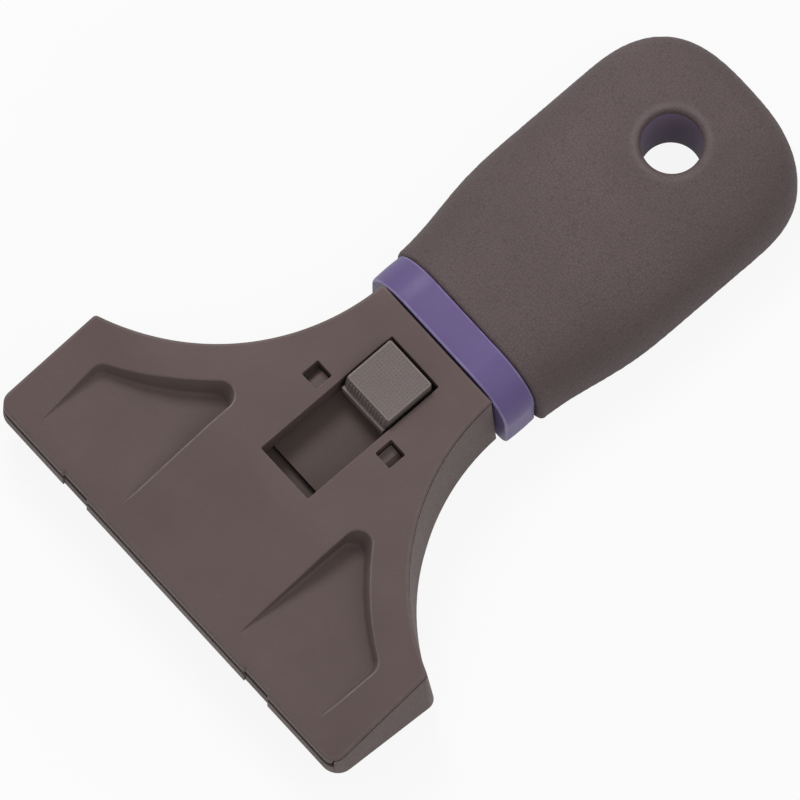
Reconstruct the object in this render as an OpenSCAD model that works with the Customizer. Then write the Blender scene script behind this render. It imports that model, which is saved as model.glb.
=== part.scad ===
// Hand-held algae scraper with a blade that slides out of the head.
// It lies on its back: X across the blade, -Y towards the edge, +Z up to the button.
// Plan positions (y) are measured from the front lip, then moved to the centre of the length.

/* [Blade] */
// Length of the cutting edge
blade_w = 102; // [80:1:120]
// Thickness of the blade
blade_t = 0.6; // [0.4:0.1:0.9]
// Depth of the ground edge
blade_bevel = 2.4; // [1:0.1:4]
// How far the edge lies behind the lip when the blade is in
edge_setback = 1.5; // [0.5:0.1:2]
// How far the blade slides out
travel = 17; // [10:0.5:20]
// Depth of the carrier's bar under the blade
bar_d = 6; // [5:0.1:8]
// Thickness of the carrier's bar
bar_t = 2.4; // [2:0.1:2.6]
// Thickness of the clamp strip
clamp_t = 1.5; // [1:0.1:1.8]
// Radius of the pegs that locate the blade
peg_r = 1.6; // [1.2:0.1:2]
// Distance of each peg from the middle
peg_x = 38; // [30:1:39]
// Distance of each clamp screw from the middle
clamp_screw_x = 14; // [12:1:20]

/* [Head] */
// Thickness of the head behind its slope
head_t = 24; // [23:0.5:28]
// Thickness of the front lip
lip_t = 9.5; // [9:0.1:12]
// Height of the blade's plane over the back
lip_z = 13; // [12.5:0.1:14]
// Length of the sloping front of the upper face
slope_l = 31; // [26:1:34]
// Length of the sloping front of the back
under_l = 50; // [40:1:56]
// How far the end walls lean in from the back up to the upper face
end_draft = 2.3; // [1:0.1:3]
// How far the hollow sides lean in
waist_draft = 1.8; // [1:0.1:3]
// Width of the neck at the back
neck_w = 38.8; // [38:0.2:44]
// Radius of the hollow sides at the back
waist_r = 53; // [48:0.2:60]
// Radius of the front corners
corner_r = 4.75; // [3.5:0.25:6]
// Radius of the rear corners of the head
rear_corner_r = 3.3; // [3.2:0.1:4.5]
// Wall around the head
wall = 2.4; // [1.8:0.1:3]
// Thickness of the upper cover
roof = 2.6; // [2:0.1:3]
// Thickness of the bottom
floor_t = 2.2; // [2:0.1:2.5]
// Height of the upper cover at its rim
skirt = 1.4; // [1.2:0.1:2]
// Height of the upper cover's front lip
lip_skirt = 3.5; // [3:0.1:4]
// Open seam between the two shells
seam = 0.5; // [0.2:0.05:0.6]
// Length of each shallow notch in the front lip
notch_w = 7.6; // [4:0.2:9]
// Depth of each notch
notch_d = 0.45; // [0.2:0.05:0.8]
// Distance of each notch from the middle
notch_x = 29.4; // [20:0.2:36]

/* [Pockets] */
// Depth of the pockets below the upper face
pocket_depth = 5.4; // [4:0.1:5.6]
// Distance of each pocket's inner side from the middle
pocket_x = 19.2; // [18.6:0.1:26]
// Rim between a pocket and the end of the head
end_rim = 7.7; // [6:0.1:12]
// Rim between a pocket and the hollow side
waist_rim = 8.4; // [8:0.1:12]
// How far a pocket's rear and end walls lean out up to the upper face
pocket_draft = 1.4; // [0.5:0.1:2]
// Radius in the corners of a pocket
pocket_r = 3.2; // [1:0.1:3.6]

/* [Window and button] */
// Width of the window
win_w = 15.2; // [14.6:0.2:17]
// Wall round the window, inside the head
frame_wall = 2; // [1.5:0.1:2.4]
// Head behind the window
win_rear = 6.2; // [5.5:0.1:9]
// Distance from the carrier's bar to the window
win_front = 8; // [7.6:0.1:14]
// Width of the button
btn_w = 13.6; // [12:0.1:13.6]
// Length of the button's pad
btn_l = 12.6; // [11.6:0.1:16]
// Height of the button over the upper face
btn_rise = 2.5; // [1.5:0.1:4]
// Length of the sloping front and foot of the button
btn_foot = 1.7; // [1.2:0.1:2.6]
// Gap behind the button
btn_gap = 1.1; // [0.6:0.1:2]
// How far the button goes down
press = 1.8; // [1:0.1:1.8]
// Free length of the window in front of the button at full travel
win_spare = 5.3; // [3:0.1:8]
// Side of the square snap windows
snap_w = 4.6; // [3.6:0.1:5]
// Distance of the snap windows from the rear of the window
snap_back = 17.8; // [14:0.1:20]

/* [Carrier] */
// Width of the carrier's deck
deck_w = 18; // [18:0.2:19]
// Thickness of the deck
deck_t = 2.7; // [2.4:0.1:3]
// Height of the deck over the bar's upper face
deck_rise = 3.8; // [3.4:0.1:4]
// Thickness of the deck's side flanges
flange_t = 2; // [1.4:0.1:2.2]
// Width of the groove across the deck
groove_w = 4.4; // [2:0.1:5]
// Depth of the groove
groove_d = 2; // [1:0.1:2.2]
// Radius of the button spring's coil, at the middle of its wire
spring_r = 2.3; // [2.2:0.1:2.8]
// Diameter of the spring's wire
spring_wire = 0.7; // [0.4:0.1:0.8]
// Turns of the spring
spring_turns = 5; // [3:1:5]
// Width of the detent leaf
leaf_w = 5; // [4:0.5:6]
// Thickness of the detent leaf
leaf_t = 0.4; // [0.3:0.1:0.5]

/* [Handle] */
// Width of the collar
collar_w = 44.2; // [43.6:0.2:48]
// Length of the collar
collar_l = 8.2; // [6:0.1:10]
// Height of the collar over the neck's upper face
collar_rise = 0.6; // [0:0.1:1.2]
// Radius of the collar's upper corners
collar_top_r = 12; // [6:0.5:18]
// Radius of the collar's lower corners
collar_low_r = 3; // [2:0.5:6]
// Open groove between neck and collar
collar_groove = 0.8; // [0.4:0.1:1.2]
// Length of the grip
grip_l = 82; // [76:1:110]
// Greatest width of the grip
grip_w = 55; // [50:0.2:60]
// Width of the grip at the collar
grip_front_w = 47.6; // [46:0.2:50]
// Thickness of the grip
grip_t = 24.6; // [24:0.2:30]
// Height of the grip's widest line
grip_wide_z = 5; // [4:0.5:12]
// Length over which the grip widens
grip_flare_l = 38; // [24:1:44]
// Length of the grip's rounded end
grip_end_l = 24; // [22:1:28]
// Length over which the grip's end thins
grip_nose_l = 9; // [6:0.5:12]
// Rounding of the grip beside the collar
grip_lead = 1.2; // [0.5:0.1:2]
// Radius of the hanging hole
hole_r = 6.8; // [5:0.1:7.5]
// Distance of the hole from the end of the grip
hole_back = 23.2; // [22:0.1:28]
// Rounding of the hole's lips
hole_lip = 1.6; // [1:0.1:2.6]
// Wall of the hole's liner
liner_wall = 1.6; // [1.2:0.1:2.2]
// Width of the core inside the grip
core_w = 34; // [30:1:36]
// Thickness of the core inside the grip
core_t = 14; // [12:0.5:15]
// Width of the core's neck inside the collar
shank_w = 26; // [22:1:28]
// Length of the core's tongue inside the head
tongue_l = 19; // [17:0.5:20]
// Width of the tongue
tongue_w = 12.8; // [10:0.2:13]
// Thickness of the tongue
tongue_t = 5.8; // [5:0.1:6]

/* [Fasteners] */
// Radius of the screw shanks
screw_r = 1.4; // [1.2:0.1:1.6]
// Radius of the screw heads
screw_head_r = 2.7; // [2.4:0.1:2.8]
// Radius of the screw bosses
boss_r = 3.4; // [3.3:0.1:3.6]
// Direction of the outer bosses, seen from the middle of the hollow side
boss_angle = 43; // [41:0.5:46]

/* [Fits] */
// Gap at sliding faces
run_gap = 0.3; // [0.2:0.05:0.4]
// Gap between pieces that are fixed together
fit_gap = 0.1; // [0.05:0.05:0.2]
// Radial gap of screws in their holes
screw_gap = 0.05; // [0.02:0.01:0.1]

/* [Hidden] */

$fn = 64;
// Overlap that makes cuts run clean through a face
eps = 0.5;
// Least radius of a corner that is drawn in
least_r = 0.3;
// Room inside the ends of the head, beside the blade
blade_side = 1.5;
// Spare room between the carrier's bar and the lip at full travel
bar_spare = 1;
// Straight end of the head behind the blade
end_spare = 2.4;
// Room under the blade in its slot
slot_gap = 0.4;
head_plastic = [0.37, 0.32, 0.31];
grip_rubber = [0.35, 0.31, 0.31];
button_plastic = [0.45, 0.41, 0.41];
carrier_plastic = [0.26, 0.22, 0.21];
purple_plastic = [0.40, 0.32, 0.58];
steel = [0.75, 0.76, 0.78];

// Lengths along the tool, from the front lip
lip_wall = wall;
blade_d = lip_wall + bar_spare + travel + bar_d - edge_setback;
bar_y = edge_setback + blade_d - bar_d;
bar_end = bar_y + bar_d;
end_l = bar_end + end_spare;
win_y = bar_end + win_front;
btn_y = win_y + win_spare + travel + btn_foot;
btn_end = btn_y + btn_l;
win_end = btn_end + btn_gap;
head_l = win_end + win_rear;
collar_y = head_l + collar_groove;
collar_end = collar_y + collar_l;
grip_y = collar_end + fit_gap;
overall_l = grip_y + grip_l;
hole_y = overall_l - hole_back;

// Widths across the head, which is widest at the back
head_w = blade_w + 2 * (blade_side + wall + end_draft * lip_z / head_t);
waist_x = neck_w / 2 + waist_r;
waist_y = end_l + sqrt(pow(waist_r, 2) - pow(waist_x - head_w / 2, 2));

// Heights
lip_top = lip_z + lip_t / 2;
lip_low = lip_z - lip_t / 2;
blade_z = lip_z - blade_t / 2;
bar_z = blade_z - bar_t;
clamp_z = blade_z + blade_t;
deck_top = blade_z + deck_rise;
deck_z = deck_top - deck_t;
pocket_z = head_t - pocket_depth;
btn_top = head_t + btn_rise;
btn_z = deck_top + press + run_gap;
slot_z = blade_z - slot_gap;
rail_z = bar_z - run_gap;
roof_z = head_t - roof;

// Screw places
outer_boss_d = waist_r + waist_draft + wall + boss_r + run_gap;
outer_boss = [waist_x - outer_boss_d * cos(boss_angle), waist_y - outer_boss_d * sin(boss_angle)];
inner_boss_gap = 1;
inner_boss_back = 7;
inner_boss = [deck_w / 2 + boss_r + inner_boss_gap, win_end - inner_boss_back];
boss_places = [for (b = [outer_boss, inner_boss], side = [-1, 1]) [side * b[0], b[1]]];
screw_head_t = 1.9;
screw_sink = 0.3;
screw_bite = 4;
screw_reach = lip_z + screw_bite;
tang_first = 6;
tang_pitch = 8.5;
tang_places = [for (i = [0, 1]) [0, head_l - tang_first - i * tang_pitch]];
tang_head_t = 1.1;
tang_sink = 0.2;
tang_skin = 1;
tang_reach = floor_t + tongue_t - tang_skin;

// Height of the back, and of a screw head's outer face that is sunk in it
function back_z(y) = y < under_l ? lip_low * (1 - y / under_l) : 0;
function head_face_z(y) = back_z(y - screw_head_r - fit_gap) + screw_sink;

module in_frame() {
    translate([0, -overall_l / 2, 0]) children();
}

module both_sides() {
    for (side = [0, 1])
        mirror([side, 0, 0]) children();
}

// Outline in (y, z), extruded across X
module along_x(width) {
    rotate([90, 0, 90]) linear_extrude(width, center = true) children();
}

// Outline in (x, z), extruded from y over a length
module along_y(y, length) {
    translate([0, y + length, 0]) rotate([90, 0, 0]) linear_extrude(length) children();
}

module block(x0, x1, y0, y1, z0, z1) {
    translate([x0, y0, z0]) cube([x1 - x0, y1 - y0, z1 - z0]);
}

// Standing on y = 0, with one radius for the lower corners and one for the upper
module round_rect(w, h, low_r, top_r) {
    translate([-w / 2, low_r]) square([w, h - low_r - top_r]);
    translate([-w / 2 + low_r, 0]) square([w - 2 * low_r, h - top_r]);
    translate([-w / 2 + top_r, low_r]) square([w - 2 * top_r, h - low_r]);
    both_sides() {
        translate([w / 2 - low_r, low_r]) circle(low_r);
        intersection() {
            translate([w / 2 - top_r, h - top_r]) circle(top_r);
            translate([0, low_r]) square([w / 2, h - low_r]);
        }
    }
}

function arc(c, r, from, to, steps) =
    [for (i = [0:steps]) let (a = from + (to - from) * i / steps) c + r * [cos(a), sin(a)]];

// Right half of the head's outline at a height, drawn in by an inset
function half_outline(inset, z) =
    let (side = inset + end_draft * z / head_t, half_w = head_w / 2 - side,
        hollow_r = waist_r + inset + waist_draft * z / head_t,
        r = max(corner_r - side, least_r), rear_r = max(rear_corner_r - side, least_r),
        cx = half_w - rear_r,
        cy = waist_y - sqrt(pow(hollow_r + rear_r, 2) - pow(waist_x - cx, 2)),
        turn = atan2(waist_y - cy, waist_x - cx),
        neck_turn = asin((head_l - inset - waist_y) / hollow_r))
    concat(arc([half_w - r, inset + r], r, -90, 0, 8), arc([cx, cy], rear_r, 0, turn, 8),
        arc([waist_x, waist_y], hollow_r, 180 + turn, 180 - neck_turn, 28));

function head_outline(inset, z) =
    let (right = half_outline(inset, z), n = len(right))
    concat(right, [for (i = [n - 1:-1:0]) [-right[i][0], right[i][1]]]);

// Solid between two outlines of as many points, one above the other
module loft(low, low_z, high, high_z) {
    n = len(low);
    points = concat([for (p = low) [p[0], p[1], low_z]], [for (p = high) [p[0], p[1], high_z]]);
    walls = [for (i = [0:n - 1]) let (j = (i + 1) % n) each [[i, i + n, j + n], [i, j + n, j]]];
    caps = [[for (i = [0:n - 1]) i], [for (i = [2 * n - 1:-1:n]) i]];
    polyhedron(points, concat(walls, caps));
}

// Solid of the head with leaning side walls, drawn in by an inset
module head_body(inset) {
    loft(head_outline(inset, -eps), -eps, head_outline(inset, head_t + eps), head_t + eps);
}

// Space between two heights that follow the sloping faces
module upper_band(top_drop, bottom_drop) {
    along_x(head_w + 2 * eps)
        polygon([[-eps, lip_top - top_drop], [0, lip_top - top_drop], [slope_l, head_t - top_drop],
            [head_l + eps, head_t - top_drop], [head_l + eps, head_t - bottom_drop],
            [slope_l, head_t - bottom_drop], [0, lip_top - bottom_drop],
            [-eps, lip_top - bottom_drop]]);
}

// Space above the sloping back, raised by a thickness
module above_back(raise) {
    along_x(head_w + 2 * eps)
        polygon([[-eps, lip_low + raise], [0, lip_low + raise], [under_l, raise],
            [head_l + eps, raise], [head_l + eps, 2 * head_t], [-eps, 2 * head_t]]);
}

module pocket_plan(grow) {
    x1 = head_w / 2 - end_draft - end_rim + grow;
    difference() {
        translate([pocket_x - grow, 0]) square([x1 - pocket_x + grow, waist_y]);
        translate([waist_x, waist_y]) circle(waist_r + waist_draft + waist_rim - grow);
    }
}

// Right pocket's outline at a height, with rounded rear corners
function pocket_outline(z) =
    let (lean = pocket_draft * (head_t - z) / pocket_depth, r = pocket_r,
        x0 = pocket_x, x1 = head_w / 2 - end_draft - end_rim - lean,
        hollow_r = waist_r + waist_draft + waist_rim + lean,
        y0 = waist_y - sqrt(pow(hollow_r + r, 2) - pow(waist_x - x0 - r, 2)),
        y1 = waist_y - sqrt(pow(hollow_r + r, 2) - pow(waist_x - x1 + r, 2)),
        turn0 = atan2(waist_y - y0, waist_x - x0 - r),
        turn1 = atan2(waist_y - y1, waist_x - x1 + r))
    concat([[x0, -eps], [x1, -eps]], arc([x1 - r, y1], r, 0, turn1, 8),
        arc([waist_x, waist_y], hollow_r, 180 + turn1, 180 + turn0, 16),
        arc([x0 + r, y0], r, turn0, 180, 8));

module pockets() {
    both_sides() loft(pocket_outline(pocket_z), pocket_z, pocket_outline(head_t + eps), head_t + eps);
}

module lip_notches() {
    both_sides() block(notch_x - notch_w / 2, notch_x + notch_w / 2, -eps, notch_d, -eps, head_t);
}

module boss_posts(z0, z1) {
    for (b = boss_places)
        translate([b[0], b[1], z0]) cylinder(r = boss_r, h = z1 - z0);
}

module boss_holes(z0, z1) {
    for (b = boss_places)
        translate([b[0], b[1], z0]) cylinder(r = screw_r + screw_gap, h = z1 - z0);
}

// Square wells for the snap hooks, with a ledge under each hook's nose
snap_x = win_w / 2 + frame_wall + snap_w / 2;
snap_y = win_end - snap_back;
snap_deep = 4.2;
snap_ledge_t = 0.8;
snap_wall = 1.2;
snap_ledge_z = head_t - snap_deep;
snap_low_z = snap_ledge_z - snap_ledge_t;
snap_stem = snap_w / 2;
snap_nose = 1.4;

module snap_wells() {
    half = snap_w / 2 + snap_wall;
    both_sides() block(snap_x - half, snap_x + half, snap_y - half, snap_y + half,
        snap_low_z, roof_z + eps);
}

module snap_windows() {
    both_sides() {
        block(snap_x - snap_w / 2, snap_x + snap_w / 2, snap_y - snap_w / 2, snap_y + snap_w / 2,
            snap_ledge_z, head_t + eps);
        block(snap_x - snap_w / 2, snap_x - snap_w / 2 + snap_stem + 2 * run_gap,
            snap_y - snap_w / 2, snap_y + snap_w / 2, snap_low_z - eps, snap_ledge_z + eps);
    }
}

module snap_hooks() {
    x0 = snap_x - snap_w / 2 + run_gap;
    y0 = snap_y - snap_w / 2 + run_gap;
    y1 = snap_y + snap_w / 2 - run_gap;
    nose_z = snap_ledge_z + fit_gap;
    both_sides() {
        block(x0, x0 + snap_stem, y0, y1, 0, nose_z);
        translate([0, (y0 + y1) / 2, 0]) rotate([90, 0, 0]) linear_extrude(y1 - y0, center = true)
            polygon([[x0, nose_z - eps], [x0 + snap_stem, nose_z - eps], [x0 + snap_stem, nose_z],
                [x0 + snap_w - 2 * run_gap, nose_z], [x0 + snap_stem, nose_z + snap_nose],
                [x0, nose_z + snap_nose]]);
    }
}

// Front wall of the upper cover, between the end walls of the tray
module cover_lip() {
    half = head_w / 2 - wall - run_gap;
    intersection() {
        block(-half, half, -eps, lip_wall, lip_low, head_t);
        head_body(0);
        upper_band(skirt - eps, lip_skirt);
    }
}

module head_front_shell() {
    frame_x = win_w / 2 + frame_wall;
    frame_z = deck_top + run_gap;
    color(head_plastic) in_frame() difference() {
        union() {
            intersection() {
                head_body(0);
                upper_band(0, skirt);
            }
            intersection() {
                head_body(wall + fit_gap);
                upper_band(eps, roof);
            }
            cover_lip();
            snap_wells();
            block(-frame_x, frame_x, win_y - frame_wall, win_end + frame_wall, frame_z, roof_z + eps);
            intersection() {
                both_sides() translate([0, 0, pocket_z - roof]) linear_extrude(head_t)
                    pocket_plan(wall);
                upper_band(eps, head_t);
                head_body(wall - eps);
            }
            boss_posts(lip_z, roof_z + eps);
        }
        block(-win_w / 2, win_w / 2, win_y, win_end, frame_z - eps, head_t + eps);
        pockets();
        snap_windows();
        lip_notches();
        boss_holes(lip_z - eps, screw_reach + eps);
    }
}

// Notched rib on the bottom for the detent leaf
detent_back = 10.5;
detent_y = win_y + detent_back;
detent_end = 4;
detent_dip = 1;
detent_gap = 0.4;
detent_z = bar_z - run_gap - detent_gap;

module detent_rib() {
    difference() {
        block(-leaf_w / 2, leaf_w / 2, detent_y - travel - detent_end, detent_y + detent_end,
            0, detent_z);
        for (y = [detent_y, detent_y - travel])
            translate([0, y, detent_z]) rotate([45, 0, 0])
                cube([leaf_w + 2 * eps, detent_dip * sqrt(2), detent_dip * sqrt(2)], center = true);
    }
}

module rails() {
    rail_lead = 3;
    rail_drop = 1;
    y0 = win_y - rail_lead;
    y1 = win_end + frame_wall;
    inner = deck_w / 2 + run_gap;
    both_sides() {
        block(inner - flange_t - run_gap, inner + frame_wall, y0, y1, 0, rail_z);
        block(inner, inner + frame_wall, y0, y1, 0, lip_z - rail_drop);
    }
}

// Ribs that the carrier's bar slides on
module bar_ribs() {
    rib_t = 2;
    both_sides() for (x = [0.24, 0.43] * head_w)
        block(x - rib_t / 2, x + rib_t / 2, lip_wall, end_l, 0, rail_z);
}

module head_rear_shell() {
    color(head_plastic) in_frame() difference() {
        union() {
            difference() {
                intersection() {
                    head_body(0);
                    upper_band(skirt + seam, 2 * head_t);
                    above_back(0);
                }
                intersection() {
                    head_body(wall);
                    above_back(floor_t);
                }
                block(-head_w / 2 + wall, head_w / 2 - wall, -eps, lip_wall + corner_r, slot_z, head_t);
            }
            intersection() {
                union() {
                    boss_posts(0, lip_z);
                    rails();
                    snap_hooks();
                    detent_rib();
                    bar_ribs();
                }
                head_body(eps);
                above_back(eps);
            }
        }
        lip_notches();
        boss_holes(-eps, lip_z + eps);
        for (b = boss_places)
            translate([b[0], b[1], -eps])
                cylinder(r = screw_head_r + fit_gap, h = eps + head_face_z(b[1]) + screw_head_t + fit_gap);
        block(-tongue_w / 2 - fit_gap, tongue_w / 2 + fit_gap, head_l - wall - eps, head_l + eps,
            floor_t, floor_t + tongue_t + 2 * fit_gap);
        for (p = tang_places)
            translate([p[0], p[1], -eps]) {
                cylinder(r = screw_r + screw_gap, h = floor_t + 2 * eps);
                cylinder(r = screw_head_r + fit_gap, h = eps + tang_sink + tang_head_t);
            }
    }
}

// Screw that points up, its head's outer face at z = 0, with a hexagon socket
module screw(head_h, length) {
    socket_r = screw_head_r * 0.5;
    difference() {
        union() {
            cylinder(r = screw_head_r, h = head_h);
            cylinder(r = screw_r, h = length);
        }
        translate([0, 0, -eps]) cylinder(r = socket_r, h = eps + head_h * 0.6, $fn = 6);
    }
}

module shell_screws() {
    color(steel) in_frame() for (b = boss_places)
        translate([b[0], b[1], head_face_z(b[1])])
            screw(screw_head_t, screw_reach - head_face_z(b[1]));
}

module tang_screws() {
    color(steel) in_frame() for (p = tang_places)
        translate([p[0], p[1], tang_sink - fit_gap]) screw(tang_head_t, tang_reach - tang_sink);
}

// Flat shape of the carrier's bar and clamp, kept clear of the head's walls
module bar_plan() {
    intersection() {
        translate([-blade_w / 2, bar_y]) square([blade_w, bar_d]);
        polygon(head_outline(wall + run_gap, clamp_z + clamp_t));
    }
}

// Button legs, spring seat and stake of the leaf, all on the deck
leg_t = 1.6;
leg_w = 6;
leg_ys = [btn_y + leg_t, btn_end - leg_t];
barb = 0.8;
barb_t = 1.5;
spring_y = (btn_y + btn_end) / 2;
seat_gap = 0.4;
seat_h = 1.2;
spring_seat_r = spring_r - spring_wire / 2 - seat_gap;
stake_back = 0.5;
stake_y = win_y + stake_back;
stake_r = 1.2;
stake_flange = 0.8;
stake_head_t = 0.6;

module blade_carrier() {
    deck_spare = 1;
    deck_end = win_end + deck_spare;
    groove_lead = 0.6;
    groove_y = win_y - groove_lead;
    root_l = 4;
    root_end = bar_end + root_l;
    color(carrier_plastic) in_frame() difference() {
        union() {
            translate([0, 0, bar_z]) linear_extrude(bar_t) bar_plan();
            block(-deck_w / 2, deck_w / 2, bar_end - eps, root_end, bar_z, blade_z);
            block(-deck_w / 2, deck_w / 2, bar_end + fit_gap, root_end, bar_z, deck_top);
            block(-deck_w / 2, deck_w / 2, root_end - eps, deck_end, deck_z, deck_top);
            both_sides() block(deck_w / 2 - flange_t, deck_w / 2, root_end - eps, deck_end,
                bar_z, deck_top);
            both_sides() translate([peg_x, bar_y + bar_d / 2, bar_z])
                cylinder(r = peg_r, h = clamp_z + clamp_t - bar_z);
            translate([0, spring_y, deck_top - eps]) cylinder(r = spring_seat_r, h = eps + seat_h);
            translate([0, stake_y, deck_z - leaf_t - fit_gap]) cylinder(r = stake_r, h = leaf_t + eps);
            translate([0, stake_y, deck_z - leaf_t - fit_gap - stake_head_t])
                cylinder(r = stake_r + stake_flange, h = stake_head_t);
        }
        block(-deck_w, deck_w, groove_y, groove_y + groove_w, deck_top - groove_d, deck_top + eps);
        for (y = leg_ys)
            block(-leg_w / 2 - run_gap, leg_w / 2 + run_gap, y - leg_t / 2 - run_gap,
                y + leg_t / 2 + run_gap, deck_z - eps, deck_top + eps);
        both_sides() translate([clamp_screw_x, bar_y + bar_d / 2, bar_z - eps])
            cylinder(r = screw_r + screw_gap, h = bar_t + 2 * eps);
    }
}

module scraper_blade() {
    edge_t = 0.1;
    color(steel) in_frame() difference() {
        along_x(blade_w)
            polygon([[edge_setback, lip_z - edge_t / 2], [edge_setback + blade_bevel, blade_z],
                [bar_end, blade_z], [bar_end, clamp_z], [edge_setback + blade_bevel, clamp_z],
                [edge_setback, lip_z + edge_t / 2]]);
        both_sides() for (x = [peg_x, clamp_screw_x])
            translate([x, bar_y + bar_d / 2, blade_z - eps])
                cylinder(r = max(peg_r, screw_r) + fit_gap, h = blade_t + 2 * eps);
    }
}

module blade_clamp() {
    color(steel) in_frame() difference() {
        translate([0, 0, clamp_z]) linear_extrude(clamp_t) bar_plan();
        both_sides() {
            translate([peg_x, bar_y + bar_d / 2, clamp_z - eps])
                cylinder(r = peg_r + fit_gap, h = clamp_t + 2 * eps);
            translate([clamp_screw_x, bar_y + bar_d / 2, clamp_z - eps])
                cylinder(r = screw_r + screw_gap, h = clamp_t + 2 * eps);
        }
    }
}

module clamp_screws() {
    head_h = 0.8;
    color(steel) in_frame() both_sides()
        translate([clamp_screw_x, bar_y + bar_d / 2, clamp_z + clamp_t + head_h]) mirror([0, 0, 1])
            screw(head_h, head_h + clamp_t + blade_t + bar_t);
}

module thumb_button() {
    foot_y = btn_y - btn_foot;
    ledge_l = 0.7;
    ledge_drop = 2;
    ledge_z = head_t - ledge_drop;
    edge = 0.6;
    spring_room = 0.6;
    hollow = spring_r + spring_wire / 2 + spring_room;
    leg_z = deck_z - fit_gap - barb_t;
    color(button_plastic) in_frame() {
        difference() {
            along_x(btn_w)
                polygon([[foot_y, btn_z], [foot_y, ledge_z], [foot_y + ledge_l, ledge_z],
                    [btn_y, btn_top - edge / 2], [btn_y + edge, btn_top], [btn_end - edge, btn_top],
                    [btn_end, btn_top - edge], [btn_end, btn_z]]);
            translate([0, spring_y, btn_z - eps])
                cylinder(r = hollow, h = spring_top - btn_z + eps);
        }
        for (i = [0, 1]) {
            out = i == 0 ? -1 : 1;
            y = leg_ys[i];
            block(-leg_w / 2, leg_w / 2, y - leg_t / 2, y + leg_t / 2, leg_z, btn_z + eps);
            block(-leg_w / 2, leg_w / 2, min(y, y + out * (leg_t / 2 + barb)),
                max(y, y + out * (leg_t / 2 + barb)), leg_z, leg_z + barb_t);
        }
    }
}

btn_roof = 2.6;
spring_top = btn_top - btn_roof;

// Round wire wound from the deck up to the button, swept as rings of points
module button_spring() {
    wire_r = spring_wire / 2;
    z0 = deck_top + wire_r + fit_gap;
    z1 = spring_top - wire_r - fit_gap;
    per_turn = 12;
    sides = 6;
    rings = spring_turns * per_turn;
    points = [for (i = [0:rings], k = [0:sides - 1])
        let (a = 360 * i / per_turn, b = 360 * k / sides, r = spring_r + wire_r * cos(b))
        [r * cos(a), r * sin(a), z0 + (z1 - z0) * i / rings + wire_r * sin(b)]];
    walls = [for (i = [0:rings - 1], k = [0:sides - 1], half = [0, 1])
        let (a = i * sides + k, b = i * sides + (k + 1) % sides)
        half == 0 ? [a, b, b + sides] : [a, b + sides, a + sides]];
    first_cap = [for (k = [1:sides - 2]) [0, k + 1, k]];
    last_cap = [for (k = [1:sides - 2]) [rings * sides, rings * sides + k, rings * sides + k + 1]];
    color(steel) in_frame() translate([0, spring_y, 0])
        polyhedron(points, concat(walls, first_cap, last_cap));
}

// Bent leaf: flat root on the stake, sloping arm, bump in the rib's notch and turned-up tip
module detent_spring() {
    root = 2.5;
    bump_l = 1;
    bump_h = 1.4;
    tip_l = 2;
    tip_rise = 0.6;
    top = deck_z - fit_gap / 2;
    bump_z = detent_z - detent_dip * 0.6 + leaf_t;
    line = [[stake_y - root, top], [stake_y + root, top], [detent_y - bump_l, bump_z + bump_h],
        [detent_y, bump_z], [detent_y + bump_l, bump_z + bump_h],
        [detent_y + bump_l + tip_l, bump_z + bump_h + tip_rise]];
    under = [for (i = [len(line) - 1:-1:0]) line[i] - [0, leaf_t]];
    color(steel) in_frame() difference() {
        along_x(leaf_w) polygon(concat(line, under));
        translate([0, stake_y, top - leaf_t - eps]) cylinder(r = stake_r + fit_gap, h = leaf_t + 2 * eps);
    }
}

core_z = (grip_t - core_t) / 2;
core_behind = 5;
core_end = hole_y + hole_r + liner_wall + core_behind;
core_step = 4;
core_y = grip_y + core_step;

module handle_core() {
    shank_y = head_l + fit_gap;
    tongue_y = head_l - tongue_l;
    tongue_z = floor_t + fit_gap;
    color(purple_plastic) in_frame() difference() {
        union() {
            block(-tongue_w / 2, tongue_w / 2, tongue_y, shank_y + eps, tongue_z, tongue_z + tongue_t);
            block(-shank_w / 2, shank_w / 2, shank_y, core_y, tongue_z, core_z + core_t);
            block(-core_w / 2, core_w / 2, core_y, core_end, core_z, core_z + core_t);
        }
        for (p = tang_places)
            translate([p[0], p[1], 0]) cylinder(r = screw_r + screw_gap, h = tang_reach + fit_gap);
        translate([0, hole_y, 0]) cylinder(r = hole_r + liner_wall + fit_gap, h = grip_t);
    }
}

module collar_ring() {
    top = head_t + collar_rise;
    color(purple_plastic) in_frame() difference() {
        along_y(collar_y, collar_l) round_rect(collar_w, top, collar_low_r, collar_top_r);
        block(-shank_w / 2 - fit_gap, shank_w / 2 + fit_gap, collar_y - eps, collar_end + eps,
            floor_t, core_z + core_t + fit_gap);
    }
}

// How full the grip's end and its cross section are, where 2 is an ellipse
end_power = 2.7;
section_power = 2.7;

// Half width and thickness share of the grip at a distance s from its front
function ease(t) = t <= 0 ? 0 : t >= 1 ? 1 : t * t * (3 - 2 * t);
function bow(t) = t <= 0 ? 1 : t >= 1 ? 0 : pow(1 - pow(t, end_power), 1 / end_power);
function grip_lead_in(s) = s >= grip_lead ? 0 : grip_lead - sqrt(s * (2 * grip_lead - s));
function grip_half_w(s) =
    (grip_front_w + (grip_w - grip_front_w) * sin(90 * ease(min(s / grip_flare_l, 1)))) / 2
    * bow((s - grip_l + grip_end_l) / grip_end_l) - grip_lead_in(s);
function grip_share(s) = bow((s - grip_l + grip_nose_l) / grip_nose_l) * (1 - grip_lead_in(s) / grip_t);
function soft(v) = sign(v) * pow(abs(v), 2 / section_power);

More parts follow.
